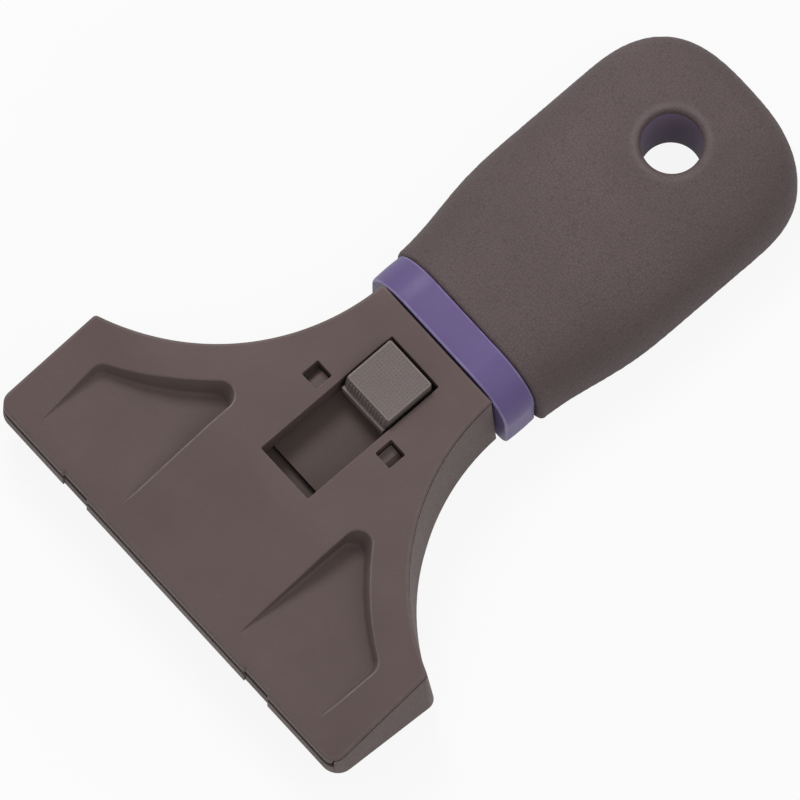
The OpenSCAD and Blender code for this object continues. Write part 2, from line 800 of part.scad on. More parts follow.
module grip_body() {
    sides = 40;
    lead_steps = 3;
    body_steps = 14;
    end_steps = 12;
    body_l = grip_l - grip_end_l - grip_lead;
    stations = concat([for (i = [0:lead_steps - 1]) grip_lead * (1 - cos(90 * i / lead_steps))],
        [for (i = [0:body_steps - 1]) grip_lead + body_l * i / body_steps],
        [for (i = [0:end_steps - 1]) grip_l - grip_end_l + grip_end_l * sin(90 * i / end_steps)]);
    count = len(stations);
    points = concat([for (s = stations, k = [0:sides - 1])
        let (a = 360 * k / sides, rise = sin(a) >= 0 ? grip_t - grip_wide_z : grip_wide_z)
        [grip_half_w(s) * soft(cos(a)), grip_y + s,
            grip_wide_z + rise * grip_share(s) * soft(sin(a))]],
        [[0, overall_l, grip_wide_z]]);
    walls = [for (i = [0:count - 2], k = [0:sides - 1], half = [0, 1])
        let (a = i * sides + k, b = i * sides + (k + 1) % sides)
        half == 0 ? [a, b, b + sides] : [a, b + sides, a + sides]];
    front_cap = [for (k = [1:sides - 2]) [0, k + 1, k]];
    last = (count - 1) * sides;
    end_cap = [for (k = [0:sides - 1]) [last + k, last + (k + 1) % sides, count * sides]];
    polyhedron(points, concat(walls, front_cap, end_cap));
}

// Round hole with soft lips, widened between them for the liner
module lipped_hole() {
    steps = 8;
    lip_end = grip_t - hole_lip;
    out_r = hole_r + hole_lip;
    tube_r = hole_r + liner_wall + fit_gap;
    low_lip = arc([out_r, hole_lip], hole_lip, 270, 180, steps);
    high_lip = arc([out_r, lip_end], hole_lip, 180, 90, steps);
    rotate_extrude()
        polygon(concat([[0, -eps], [out_r, -eps]], low_lip, [[tube_r, hole_lip], [tube_r, lip_end]],
            high_lip, [[out_r, grip_t + eps], [0, grip_t + eps]]));
}

module grip_sleeve() {
    color(grip_rubber) in_frame() difference() {
        grip_body();
        block(-shank_w / 2 - fit_gap, shank_w / 2 + fit_gap, grip_y - eps, core_y,
            floor_t, core_z + core_t + fit_gap);
        block(-core_w / 2 - fit_gap, core_w / 2 + fit_gap, core_y - fit_gap, core_end + fit_gap,
            core_z - fit_gap, core_z + core_t + fit_gap);
        translate([0, hole_y, 0]) lipped_hole();
    }
}

module hang_hole_liner() {
    low = hole_lip + fit_gap;
    length = grip_t - 2 * low;
    color(purple_plastic) in_frame() translate([0, hole_y, low]) difference() {
        cylinder(r = hole_r + liner_wall, h = length);
        translate([0, 0, -eps]) cylinder(r = hole_r, h = length + 2 * eps);
    }
}

head_front_shell();
head_rear_shell();
shell_screws();
blade_carrier();
scraper_blade();
blade_clamp();
clamp_screws();
thumb_button();
button_spring();
detent_spring();
handle_core();
tang_screws();
collar_ring();
grip_sleeve();
hang_hole_liner();
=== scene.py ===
"""Looks of a hand-held algae scraper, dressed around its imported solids."""

import math

import bmesh
import bpy
import numpy as np
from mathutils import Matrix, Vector, noise
from mathutils.geometry import delaunay_2d_cdt


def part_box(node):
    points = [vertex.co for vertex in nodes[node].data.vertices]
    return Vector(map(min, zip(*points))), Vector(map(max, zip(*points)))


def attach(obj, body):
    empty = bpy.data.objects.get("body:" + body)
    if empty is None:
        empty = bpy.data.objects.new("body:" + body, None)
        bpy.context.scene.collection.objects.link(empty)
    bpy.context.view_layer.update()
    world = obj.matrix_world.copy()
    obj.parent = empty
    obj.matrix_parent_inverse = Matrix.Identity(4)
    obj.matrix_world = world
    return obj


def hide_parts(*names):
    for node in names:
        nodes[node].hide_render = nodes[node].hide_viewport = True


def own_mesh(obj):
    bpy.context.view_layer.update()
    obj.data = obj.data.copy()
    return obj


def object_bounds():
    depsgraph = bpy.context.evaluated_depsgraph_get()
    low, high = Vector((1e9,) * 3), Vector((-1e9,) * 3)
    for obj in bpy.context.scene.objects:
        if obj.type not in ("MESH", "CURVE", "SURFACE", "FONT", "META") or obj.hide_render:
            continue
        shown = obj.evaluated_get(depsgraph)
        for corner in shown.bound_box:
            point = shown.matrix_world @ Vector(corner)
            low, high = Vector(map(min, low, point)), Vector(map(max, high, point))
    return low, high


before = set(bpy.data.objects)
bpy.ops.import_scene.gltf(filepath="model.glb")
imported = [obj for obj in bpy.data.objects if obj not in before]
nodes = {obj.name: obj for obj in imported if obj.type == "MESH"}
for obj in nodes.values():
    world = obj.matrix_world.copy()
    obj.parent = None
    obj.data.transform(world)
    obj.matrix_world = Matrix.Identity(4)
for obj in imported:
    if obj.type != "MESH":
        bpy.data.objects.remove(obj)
cad_low, cad_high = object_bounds()
MM = 0.001
QUARTER = math.pi / 2

# Camera, read off the photo: turn and height of the view, scale and place of the frame's origin
PICTURE = 800
VIEW_TURN = math.radians(48.4)
VIEW_HEIGHT = math.radians(73.9)
PIXELS_PER_MM = 4.63
ORIGIN_PIXEL = (458.9, 339.7)
ORIGIN_HEIGHT = 12 * MM
VIEW_DISTANCE = 6.0
SENSOR_W = 36
FAR_CLIP = 20

# Colours, linear
HEAD_BROWN = (0.103, 0.074, 0.071, 1)
HEAD_BROWN_PALE = (0.117, 0.085, 0.081, 1)
# Paler head colour of rubbed edges, also a painted highlight on the cover's rims
HEAD_RUB_AND_HIGHLIGHT = (0.235, 0.195, 0.188, 1)
GRIP_BROWN = (0.098, 0.072, 0.073, 1)
GRIP_BROWN_PALE = (0.116, 0.086, 0.088, 1)
GRIP_VALLEY = (0.080, 0.059, 0.060, 1)
# Paler grip colour on the hanging hole's lip: rubbing and a painted highlight
GRIP_RUB_AND_HIGHLIGHT = (0.165, 0.132, 0.136, 1)
PAD_GREY = (0.138, 0.112, 0.108, 1)
PAD_GREY_PALE = (0.161, 0.132, 0.128, 1)
# Paler button colour on the pad's edge and foot ledge: rubbing and a painted highlight
PAD_RUB_AND_HIGHLIGHT = (0.24, 0.205, 0.20, 1)
# Carrier colour: darker than the head plastic, partly painted shade of the deep window it is seen through
CARRIER_BROWN = (0.083, 0.059, 0.054, 1)
CARRIER_PALE = (0.098, 0.071, 0.064, 1)
PURPLE = (0.104, 0.074, 0.194, 1)
PURPLE_PALE = (0.122, 0.089, 0.222, 1)
# Paler purple on the collar's edges: rubbing and a painted highlight
PURPLE_RUB_AND_HIGHLIGHT = (0.30, 0.26, 0.44, 1)
LINER_PURPLE = (0.158, 0.106, 0.182, 1)
LINER_PURPLE_PALE = (0.184, 0.126, 0.212, 1)
STEEL = (0.56, 0.565, 0.57, 1)
STEEL_PALE = (0.70, 0.70, 0.70, 1)
FLOOR_GREY = (0.6, 0.6, 0.6, 1)
WHITE = (1, 1, 1, 1)

# Name of the share of rubbing and painted highlight that a mesh carries
RUB_AND_HIGHLIGHT = "edge_rub_and_highlight"


# Node helpers

# Places of the colour sockets on a Mix node
MIX_FIRST, MIX_SECOND, MIX_RESULT = 6, 7, 2


def feed(tree, socket, value):
    """A link or a plain value for an input."""
    if isinstance(value, bpy.types.NodeSocket):
        tree.links.new(value, socket)
    else:
        socket.default_value = value


def add(tree, kind, inputs=None, **settings):
    """New shader node with its settings and its inputs, linked or plain."""
    new = tree.nodes.new("ShaderNode" + kind)
    for key, value in settings.items():
        setattr(new, key, value)
    for key, value in (inputs or {}).items():
        feed(tree, new.inputs[key], value)
    return new


def mix(tree, factor, first, second):
    """Colour between two colours."""
    blend = add(tree, "Mix", {"Factor": factor}, data_type="RGBA")
    feed(tree, blend.inputs[MIX_FIRST], first)
    feed(tree, blend.inputs[MIX_SECOND], second)
    return blend.outputs[MIX_RESULT]


def stretch(tree, value, low, high, to_low=0.0, to_high=1.0):
    """Value moved from one range to another, and held there."""
    ranged = add(tree, "MapRange", {"Value": value, "From Min": low, "From Max": high,
                                    "To Min": to_low, "To Max": to_high})
    return ranged.outputs["Result"]


def effect(name, inputs, outputs):
    """Empty node group with number inputs and outputs."""
    tree = bpy.data.node_groups.new(name, "ShaderNodeTree")
    for label, value in inputs.items():
        socket = tree.interface.new_socket(label, in_out="INPUT", socket_type="NodeSocketFloat")
        socket.default_value = value
    for label in outputs:
        tree.interface.new_socket(label, in_out="OUTPUT", socket_type="NodeSocketFloat")
    return tree, tree.nodes.new("NodeGroupInput").outputs, tree.nodes.new("NodeGroupOutput").inputs


def place(tree, group, values):
    """An effect placed in a material with its own values."""
    user = tree.nodes.new("ShaderNodeGroup")
    user.node_tree = group
    for label, value in values.items():
        user.inputs[label].default_value = value
    return user.outputs


# Effects that several materials share

NOISE_LOW, NOISE_HIGH = 0.3, 0.7
PATCH_LOW, PATCH_HIGH = 0.3, 0.65
CELL_SLOPE = 0.35
LINE_STRETCH = (0.02, 1.0, 1.0)


def moulded_grain():
    """Fine grain of a spark-eroded mould and the soft cloudiness of moulded plastic."""
    tree, given, result = effect("moulded_grain", {"Grains": 1800.0, "Clouds": 45.0}, ["Grain", "Cloud"])
    spot = add(tree, "TexCoord").outputs["Object"]
    fine = add(tree, "TexNoise", {"Vector": spot, "Scale": given["Grains"],
                                  "Detail": 2.0, "Roughness": 0.55})
    broad = add(tree, "TexNoise", {"Vector": spot, "Scale": given["Clouds"],
                                   "Detail": 4.0, "Roughness": 0.6})
    tree.links.new(stretch(tree, fine.outputs["Fac"], NOISE_LOW, NOISE_HIGH), result["Grain"])
    tree.links.new(stretch(tree, broad.outputs["Fac"], NOISE_LOW, NOISE_HIGH), result["Cloud"])
    return tree


def pebble():
    """Small raised cells with narrow valleys between them, as on soft grips."""
    tree, given, result = effect("pebble", {"Cells": 900.0, "Valley": 0.12}, ["Height", "Valley"])
    spot = add(tree, "TexCoord").outputs["Object"]
    cell = add(tree, "TexVoronoi", {"Vector": spot, "Scale": given["Cells"]}, feature="DISTANCE_TO_EDGE")
    height = stretch(tree, cell.outputs["Distance"], 0.0, CELL_SLOPE)
    valley = stretch(tree, cell.outputs["Distance"], given["Valley"], 0.0)
    tree.links.new(height, result["Height"])
    tree.links.new(valley, result["Valley"])
    return tree


def edge_rub_and_highlight():
    """Rubbed edges: the share of rubbing and painted highlight that a mesh carries at its edges, broken up
    along them.
    """
    tree, given, result = effect("edge_rub_and_highlight", {"Patches": 260.0, "Least": 0.45}, ["Rub"])
    spot = add(tree, "TexCoord").outputs["Object"]
    patch = add(tree, "TexNoise", {"Vector": spot, "Scale": given["Patches"],
                                   "Detail": 3.0, "Roughness": 0.6})
    kept = stretch(tree, patch.outputs["Fac"], PATCH_LOW, PATCH_HIGH, given["Least"], 1.0)
    carried = add(tree, "Attribute", attribute_name=RUB_AND_HIGHLIGHT).outputs["Fac"]
    rub_and_highlight = add(tree, "Math", {0: carried, 1: kept}, operation="MULTIPLY")
    tree.links.new(rub_and_highlight.outputs[0], result["Rub"])
    return tree


def brushed_lines():
    """Fine lines along X, left by grinding or rolling."""
    tree, given, result = effect("brushed_lines", {"Lines": 900.0}, ["Line"])
    spot = add(tree, "TexCoord").outputs["Object"]
    flat = add(tree, "Mapping", {"Vector": spot, "Scale": LINE_STRETCH}).outputs["Vector"]
    line = add(tree, "TexNoise", {"Vector": flat, "Scale": given["Lines"], "Detail": 3.0})
    tree.links.new(stretch(tree, line.outputs["Fac"], NOISE_LOW, NOISE_HIGH), result["Line"])
    return tree


GRAIN = moulded_grain()
PEBBLE = pebble()
RUBBING_AND_HIGHLIGHT = edge_rub_and_highlight()
LINES = brushed_lines()


# Materials

PLASTIC_ROUGH_SWING = 0.06
STEEL_ROUGH_SWING = 0.14
RUBBER_ROUGH = (0.6, 0.76)


def material(name, **shader):
    """New material, its node tree and its shader with the plain values set."""
    made = bpy.data.materials.new(name)
    made.use_nodes = True
    tree = made.node_tree
    surface = tree.nodes["Principled BSDF"]
    for label, value in shader.items():
        surface.inputs[label.replace("_", " ")].default_value = value
    return made, tree, surface.inputs


def bump(tree, height, depth, strength):
    """Normal from a height that spans a depth in metres."""
    raised = add(tree, "Bump", {"Height": height, "Distance": depth, "Strength": strength})
    return raised.outputs["Normal"]


def moulded_plastic(name, dark, pale, rough, grains, depth, shine, rub_and_highlight_colour=None):
    """Satin moulded plastic with grain, soft clouds and, if given a colour for it, rubbed edges that also
    carry a painted highlight.
    """
    made, tree, surface = material(name, IOR=1.49, Specular_IOR_Level=shine)
    grain = place(tree, GRAIN, {"Grains": grains})
    colour = mix(tree, grain["Cloud"], dark, pale)
    if rub_and_highlight_colour:
        colour = mix(tree, place(tree, RUBBING_AND_HIGHLIGHT, {})["Rub"], colour, rub_and_highlight_colour)
    smoothest, roughest = rough - PLASTIC_ROUGH_SWING, rough + PLASTIC_ROUGH_SWING
    roughness = stretch(tree, grain["Grain"], 0, 1, smoothest, roughest)
    tree.links.new(colour, surface["Base Color"])
    tree.links.new(roughness, surface["Roughness"])
    tree.links.new(bump(tree, grain["Grain"], depth, strength=0.5), surface["Normal"])
    return made


def soft_rubber():
    """Matt rubber with a fine pebble."""
    made, tree, surface = material("soft_rubber", IOR=1.45, Specular_IOR_Level=0.2)
    cell = place(tree, PEBBLE, {"Cells": 1250.0})
    grain = place(tree, GRAIN, {"Grains": 1600.0, "Clouds": 38.0})
    clouded = mix(tree, grain["Cloud"], GRIP_BROWN, GRIP_BROWN_PALE)
    celled = mix(tree, cell["Valley"], clouded, GRIP_VALLEY)
    # Paler on the hanging hole's lip: rubbing and a painted highlight
    edge_lightening = place(tree, RUBBING_AND_HIGHLIGHT, {})["Rub"]
    tree.links.new(mix(tree, edge_lightening, celled, GRIP_RUB_AND_HIGHLIGHT), surface["Base Color"])
    tree.links.new(stretch(tree, grain["Grain"], 0, 1, *RUBBER_ROUGH), surface["Roughness"])
    tree.links.new(bump(tree, cell["Height"], depth=0.08 * MM, strength=0.5), surface["Normal"])
    return made


def steel(name, rough):
    """Stainless steel with fine lines."""
    made, tree, surface = material(name, Metallic=1.0)
    line = place(tree, LINES, {})["Line"]
    tree.links.new(mix(tree, line, STEEL, STEEL_PALE), surface["Base Color"])
    tree.links.new(stretch(tree, line, 0, 1, rough, rough + STEEL_ROUGH_SWING), surface["Roughness"])
    tree.links.new(bump(tree, line, depth=0.02 * MM, strength=0.18), surface["Normal"])
    return made


head_plastic = moulded_plastic("head_plastic", HEAD_BROWN, HEAD_BROWN_PALE, rough=0.58, grains=1500.0,
                               depth=0.05 * MM, shine=0.14, rub_and_highlight_colour=HEAD_RUB_AND_HIGHLIGHT)
button_plastic = moulded_plastic("button_plastic", PAD_GREY, PAD_GREY_PALE, rough=0.5, grains=2400.0,
                                 depth=0.04 * MM, shine=0.25, rub_and_highlight_colour=PAD_RUB_AND_HIGHLIGHT)
carrier_plastic = moulded_plastic("carrier_plastic", CARRIER_BROWN, CARRIER_PALE, rough=0.55, grains=2200.0,
                                  depth=0.04 * MM, shine=0.2)
purple_plastic = moulded_plastic("purple_plastic", PURPLE, PURPLE_PALE, rough=0.46, grains=2600.0,
                                 depth=0.02 * MM, shine=0.25, rub_and_highlight_colour=PURPLE_RUB_AND_HIGHLIGHT)
liner_plastic = moulded_plastic("liner_plastic", LINER_PURPLE, LINER_PURPLE_PALE, rough=0.6, grains=2600.0,
                                depth=0.02 * MM, shine=0.12)
grip_rubber = soft_rubber()
blade_steel = steel("blade_steel", rough=0.18)
stainless = steel("stainless", rough=0.26)


# Pieces that keep their solids, with rounded edges

RUB_TURN_LOW, RUB_TURN_HIGH = math.radians(9), math.radians(14)
JOIN_GAP = 0.002 * MM
FLAT_TURN = math.radians(0.4)
EDGE_TURN = math.radians(32)


def worn_edges(most):
    """Modifier nodes that write a share of rubbing where a surface turns outwards."""
    tree = bpy.data.node_groups.new("worn_edges", "GeometryNodeTree")
    for way in ("INPUT", "OUTPUT"):
        tree.interface.new_socket("Geometry", in_out=way, socket_type="NodeSocketGeometry")
    given, result = tree.nodes.new("NodeGroupInput"), tree.nodes.new("NodeGroupOutput")
    turn = tree.nodes.new("GeometryNodeInputMeshEdgeAngle").outputs["Signed Angle"]
    share = stretch(tree, turn, RUB_TURN_LOW, RUB_TURN_HIGH, 0.0, most)
    write = tree.nodes.new("GeometryNodeStoreNamedAttribute")
    write.inputs["Name"].default_value = RUB_AND_HIGHLIGHT
    tree.links.new(share, write.inputs["Value"])
    tree.links.new(given.outputs["Geometry"], write.inputs["Geometry"])
    tree.links.new(write.outputs["Geometry"], result.inputs["Geometry"])
    return tree


def shade_evenly(thing):
    """Shading that follows the large faces and keeps sharp edges."""
    even = thing.modifiers.new("even_shading", "WEIGHTED_NORMAL")
    even.keep_sharp = True


def dress(node, finish, edge, segments=3, edge_lightening=0.0):
    """Solid of a node with its own finish and rounded edges that may be rubbed."""
    solid = nodes[node]
    solid.data.materials.clear()
    solid.data.materials.append(finish)
    join = solid.modifiers.new("join_faces", "WELD")
    join.merge_threshold = JOIN_GAP
    flat = solid.modifiers.new("merge_flats", "DECIMATE")
    flat.decimate_type = "DISSOLVE"
    flat.angle_limit = FLAT_TURN
    rounded = solid.modifiers.new("round_edges", "BEVEL")
    rounded.width = edge
    rounded.segments = segments
    rounded.limit_method = "ANGLE"
    rounded.angle_limit = EDGE_TURN
    if edge_lightening:
        solid.modifiers.new("rub_edges", "NODES").node_group = worn_edges(edge_lightening)
    shade_evenly(solid)
    for face in solid.data.polygons:
        face.use_smooth = True


dress("head_rear_shell", head_plastic, edge=0.5 * MM, edge_lightening=0.5)
dress("blade_carrier", carrier_plastic, edge=0.25 * MM)
dress("hang_hole_liner", liner_plastic, edge=0.2 * MM)
dress("handle_core", purple_plastic, edge=0.4 * MM)
dress("scraper_blade", blade_steel, edge=0.03 * MM, segments=1)
for fitting in ("blade_clamp", "shell_screws", "clamp_screws", "tang_screws", "detent_spring"):
    dress(fitting, stainless, edge=0.15 * MM)


# Mesh helpers, in millimetres with y counted from the front lip

LIP_Y = cad_low.y / MM
SHARP_TURN = math.radians(50)
OVERCUT = 1.0
# Points that lie closer than this, in metres, count as one
SAME_POINT = 1e-9
# Corner radii of a block's sides and of its top and foot, as shares of its chamfer
BLOCK_CORNER, BLOCK_TIP = 1.5, 1.01


def spread(start, end, steps):
    """Even steps from a start to an end, both among them."""
    return [start + (end - start) * i / steps for i in range(steps + 1)]


def arc(centre, r, start, end, steps):
    """Points along an arc, both ends among them."""
    turns = spread(start, end, steps)
    return [(centre[0] + r * math.cos(turn), centre[1] + r * math.sin(turn)) for turn in turns]


def circle(centre, r, sides, start=0.0):
    """Points round a whole circle."""
    return arc(centre, r, start, start + 2 * math.pi, sides)[:-1]


def quarter_round(edge, steps):
    """Inset, drop and share of rubbing and painted highlight along a rounded edge, from its upper end to
    its outer end.
    """
    turns = spread(0, QUARTER, steps)
    return [(edge * (1 - math.sin(t)), edge * (1 - math.cos(t)), math.sin(2 * t)) for t in turns]


def between(a, b, share):
    """Point at a share of the way from one point to another."""
    return tuple(p + (q - p) * share for p, q in zip(a, b))


def level(outline, z):
    """Flat outline at a height."""
    return [(x, y, z) for x, y in outline]


def round_box(centre, size, r, grow=0.0, steps=6):
    """Rectangle with rounded corners, grown on all sides."""
    x, y = size[0] / 2 + grow - r, size[1] / 2 + grow - r
    points = []
    for corner, (sx, sy) in enumerate(((1, 1), (-1, 1), (-1, -1), (1, -1))):
        start = corner * QUARTER
        points += arc((centre[0] + sx * x, centre[1] + sy * y), r, start, start + QUARTER, steps)
    return points


def new_mesh():
    """Empty mesh whose vertices carry a share of rubbing and painted highlight."""
    mesh = bmesh.new()
    mesh.verts.layers.float.new(RUB_AND_HIGHLIGHT)
    return mesh


def ring(mesh, points, rub_and_highlight=0.0):
    """Vertices at points in millimetres, y from the front lip."""
    made = [mesh.verts.new((x * MM, (y + LIP_Y) * MM, z * MM)) for x, y, z in points]
    for vert in made:
        vert[mesh.verts.layers.float[RUB_AND_HIGHLIGHT]] = rub_and_highlight
    return made


def bridge(mesh, first, second, closed=True):
    """Faces between two rows of as many vertices."""
    count = len(first)
    for i in range(count if closed else count - 1):
        j = (i + 1) % count
        corners = list(dict.fromkeys((first[i], first[j], second[j], second[i])))
        if len(corners) > 2:
            mesh.faces.new(corners)


def skin(mesh, rows, closed=True):
    """Faces from each row to the next."""
    for near, far in zip(rows, rows[1:]):
        bridge(mesh, near, far, closed)


def close_ends(mesh, rows):
    """A face over the first row and one over the last."""
    mesh.faces.new(rows[0])
    mesh.faces.new(rows[-1])


def fan(mesh, row, tip):
    """Triangles from a closed row to one tip."""
    for i, vert in enumerate(row):
        mesh.faces.new((vert, row[(i + 1) % len(row)], tip))


def inside(points, loop):
    """Which of the flat points lie inside a closed row of vertices."""
    edge = np.array([vert.co.xy for vert in loop])
    x, y = points[:, 0], points[:, 1]
    odd = np.zeros(len(points), bool)
    for (x0, y0), (x1, y1) in zip(edge, np.roll(edge, -1, axis=0)):
        if y0 != y1:
            odd ^= ((y0 > y) != (y1 > y)) & (x < (x1 - x0) * (y - y0) / (y1 - y0) + x0)
    return odd


def open_area(points, outer, holes):
    """Which of the flat points lie inside a row of vertices and outside others."""
    wanted = inside(points, outer)
    for hole in holes:
        wanted &= ~inside(points, hole)
    return wanted


def fill(mesh, outer, holes=(), inner=()):
    """Faces inside a row of vertices and outside others, through inner vertices."""
    loops = [outer, *holes]
    verts = [vert for loop in loops for vert in loop] + list(inner)
    links, start = [], 0
    for loop in loops:
        links += [(start + i, start + (i + 1) % len(loop)) for i in range(len(loop))]
        start += len(loop)
    flats = [vert.co.xy for vert in verts]
    points, _, faces, origins, _, _ = delaunay_2d_cdt(flats, links, [], 0, SAME_POINT)
    flat = np.array(points)
    middles = np.array([flat[list(face)].mean(axis=0) for face in faces])
    for face, take in zip(faces, open_area(middles, outer, holes)):
        if take:
            mesh.faces.new([verts[origins[i][0]] for i in face])


def block(mesh, x0, x1, y0, y1, z0, z1, edge=0.15, rub_and_highlight=0.0):
    """Box with chamfered corners and a top that may carry rubbing and a painted highlight."""
    centre, size = ((x0 + x1) / 2, (y0 + y1) / 2), (x1 - x0, y1 - y0)
    levels = ((z0, -edge, 0), (z0 + edge, 0, 0), (z1 - edge, 0, 0.5 * rub_and_highlight), (z1, -edge, rub_and_highlight))
    rows = []
    for z, grow, share in levels:
        r = edge * BLOCK_TIP + grow if grow else edge * BLOCK_CORNER
        rows.append(ring(mesh, level(round_box(centre, size, r, grow, steps=2), z), share))
    skin(mesh, rows)
    close_ends(mesh, rows)


def cut(mesh, tool):
    """Mesh with the tool's solid taken out of it."""
    helpers = []
    for solid in (mesh, tool):
        bmesh.ops.recalc_face_normals(solid, faces=solid.faces)
        bmesh.ops.triangulate(solid, faces=solid.faces)
        data = bpy.data.meshes.new("helper")
        solid.to_mesh(data)
        solid.free()
        helpers.append(bpy.data.objects.new("helper", data))
        bpy.context.scene.collection.objects.link(helpers[-1])
    step = helpers[0].modifiers.new("cut", "BOOLEAN")
    step.operation = "DIFFERENCE"
    step.object = helpers[1]
    whole = helpers[0].evaluated_get(bpy.context.evaluated_depsgraph_get())
    result = bmesh.new()
    result.from_mesh(whole.to_mesh())
    whole.to_mesh_clear()
    for helper in helpers:
        bpy.data.meshes.remove(helper.data)
    return result


def piece(name, mesh, finish, slot, body, *replaced):
    """Object from a mesh that stands for solids of the frame and moves with their body."""
    bmesh.ops.recalc_face_normals(mesh, faces=mesh.faces)
    data = bpy.data.meshes.new(name)
    mesh.to_mesh(data)
    mesh.free()
    data.materials.append(finish)
    data.shade_smooth()
    data.set_sharp_from_angle(angle=SHARP_TURN)
    made = bpy.data.objects.new(name, data)
    bpy.context.scene.collection.objects.link(made)
    shade_evenly(made)
    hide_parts(*replaced)
    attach(made, body)
    return made


# Upper cover of the head

HEAD_T = 24.0
HEAD_L = 78.5
HEAD_W = 112.29
LIP_TOP = 17.75
SLOPE_L = 31.0
SLOPE_BLEND = 0.6
END_DRAFT = 2.3
WAIST_DRAFT = 1.8
WAIST_R = 53.0
WAIST_X = 72.4
WAIST_Y = 79.24
CORNER_R = 4.75
REAR_R = 3.3
LEAST_R = 0.3
NOTCH_X, NOTCH_W, NOTCH_D, NOTCH_SHOULDER = 29.4, 7.6, 0.45, 0.1
LIP_STEP, LIP_STEPS = 2.0, 25
LIP_HALF = 53.4
LIP_ROOF = 1.0
RIM_H, LIP_H, WALL = 1.4, 3.5, 2.5
UNDER_Z = 16.8
# Rounding of the cover's outer rim, and its share of rubbing and painted highlight
COVER_EDGE, COVER_RUB_AND_HIGHLIGHT = 0.8, 0.3
# Inset and rise of the rounded lower rim at the parting line
SEAM_ROUND = ((0, 0.4), (0.12, 0.12), (0.4, 0))
CREASE_STEP, CREASE_STEPS, CREASE_HALF, CREASE_CLEAR = 2.5, 20, 4.0, 0.6
POCKET_Z, POCKET_X, POCKET_R = 18.6, 19.2, 3.2
POCKET_DRAFT, END_RIM, WAIST_RIM = 1.4, 7.7, 8.4
# Rounding of the pocket's rim and foot: the most, and the share of the wall's height where that is less
POCKET_EDGE, POCKET_EDGE_SHARE = 0.5, 0.55
POCKET_BEND, POCKET_BEND_SHARE = 0.8, 0.4
# Rubbing and painted highlight of the pocket's rows from its floor up to its rim, and the least share of
# it, which rims that face away from the key light keep
POCKET_RUB_AND_HIGHLIGHT_ROWS = (0, 0, 0, 0, 0.5, 1, 1, 0.6, 0)
POCKET_LEAST_RUB_AND_HIGHLIGHT = 0.2
# Window: middle in x and y, width and length
WINDOW = (0.0, 53.25, 15.2, 37.7)
# Corner radius of the openings, and the share of rubbing and painted highlight on their rims
OPENING_R, OPENING_RUB_AND_HIGHLIGHT = 0.3, 0.35
WINDOW_EDGE, SNAP_EDGE = 0.35, 0.25
SNAP_X, SNAP_Y, SNAP_W = 11.9, 54.3, 4.6
SNAP_LEDGE_Z, SNAP_LEDGE_T, SNAP_LEDGE_X, SNAP_LEDGE_OVER, SNAP_LEDGE_EDGE = 19.8, 0.8, 0.6, 0.2, 0.1


def top_z(y):
    """Height of the upper face: flat, then sloping softly down to the lip."""
    slope = LIP_TOP + (HEAD_T - LIP_TOP) * y / SLOPE_L
    near = max(SLOPE_BLEND - abs(slope - HEAD_T), 0) / SLOPE_BLEND
    return min(slope, HEAD_T) - near * near * SLOPE_BLEND / 4


def lip_xs():
    """Places along half of the front lip, with the shoulders of the notch."""
    ends = [NOTCH_X + side * NOTCH_W / 2 for side in (-1, 1)]
    shoulders = [end + step for end in ends for step in (-NOTCH_SHOULDER, NOTCH_SHOULDER)]
    return sorted([LIP_STEP * i for i in range(LIP_STEPS + 1)] + shoulders)


def head_side(inset, z):
    """Right half of the head's outline at a height, from the lip's middle to the neck's."""
    side = inset + END_DRAFT * z / HEAD_T
    half = HEAD_W / 2 - side
    hollow = WAIST_R + inset + WAIST_DRAFT * z / HEAD_T
    r, rear = max(CORNER_R - side, LEAST_R), max(REAR_R - side, LEAST_R)
    cx = half - rear
    cy = WAIST_Y - math.sqrt((hollow + rear) ** 2 - (WAIST_X - cx) ** 2)
    turn = math.atan2(WAIST_Y - cy, WAIST_X - cx)
    neck = math.asin((HEAD_L - inset - WAIST_Y) / hollow)
    lip = [(x, inset + (NOTCH_D if abs(x - NOTCH_X) < NOTCH_W / 2 else 0)) for x in lip_xs()]
    front = arc((half - r, inset + r), r, -QUARTER, 0, steps=10)
    corner = arc((cx, cy), rear, 0, turn, steps=8)
    end = [(half, y) for y in spread(front[-1][1], corner[0][1], steps=16)][1:-1]
    waist = arc((WAIST_X, WAIST_Y), hollow, math.pi + turn, math.pi - neck, steps=48)[1:]
    back = [(x, HEAD_L - inset) for x in spread(waist[-1][0], 0, steps=8)][1:]
    return lip + front + end + corner + waist + back


LIP_PLACES = {i for i, (x, y) in enumerate(head_side(0, LIP_TOP)) if x < LIP_HALF and y < WALL}


def seam_drop(spot):
    """Drop from the upper face to the parting line, which is deeper along the lip."""
    return LIP_H if spot in LIP_PLACES else RIM_H


def head_loop(inset, height):
    """Whole outline, drawn in by an inset; height gives z from a spot on the half outline and its y."""
    half = []
    for spot, (low, high) in enumerate(zip(head_side(inset, 0), head_side(inset, HEAD_T))):
        z = height(spot, high[1])
        half.append((*between(low, high, z / HEAD_T), z))
    return half + [(-x, y, z) for x, y, z in half[-2:0:-1]]


def opening(mesh, centre, size, edge):
    """Rounded rim and walls of an opening in the cover; returns its upper and its lower row."""
    rows = []
    for grow, drop, rub_and_highlight in quarter_round(edge, steps=4):
        outline = round_box(centre, size, OPENING_R + grow, grow)
        rows.append(ring(mesh, [(x, y, top_z(y) - drop) for x, y in outline], OPENING_RUB_AND_HIGHLIGHT * rub_and_highlight))
    rows.append(ring(mesh, level(round_box(centre, size, OPENING_R), UNDER_Z)))
    skin(mesh, rows)
    return rows[0], rows[-1]


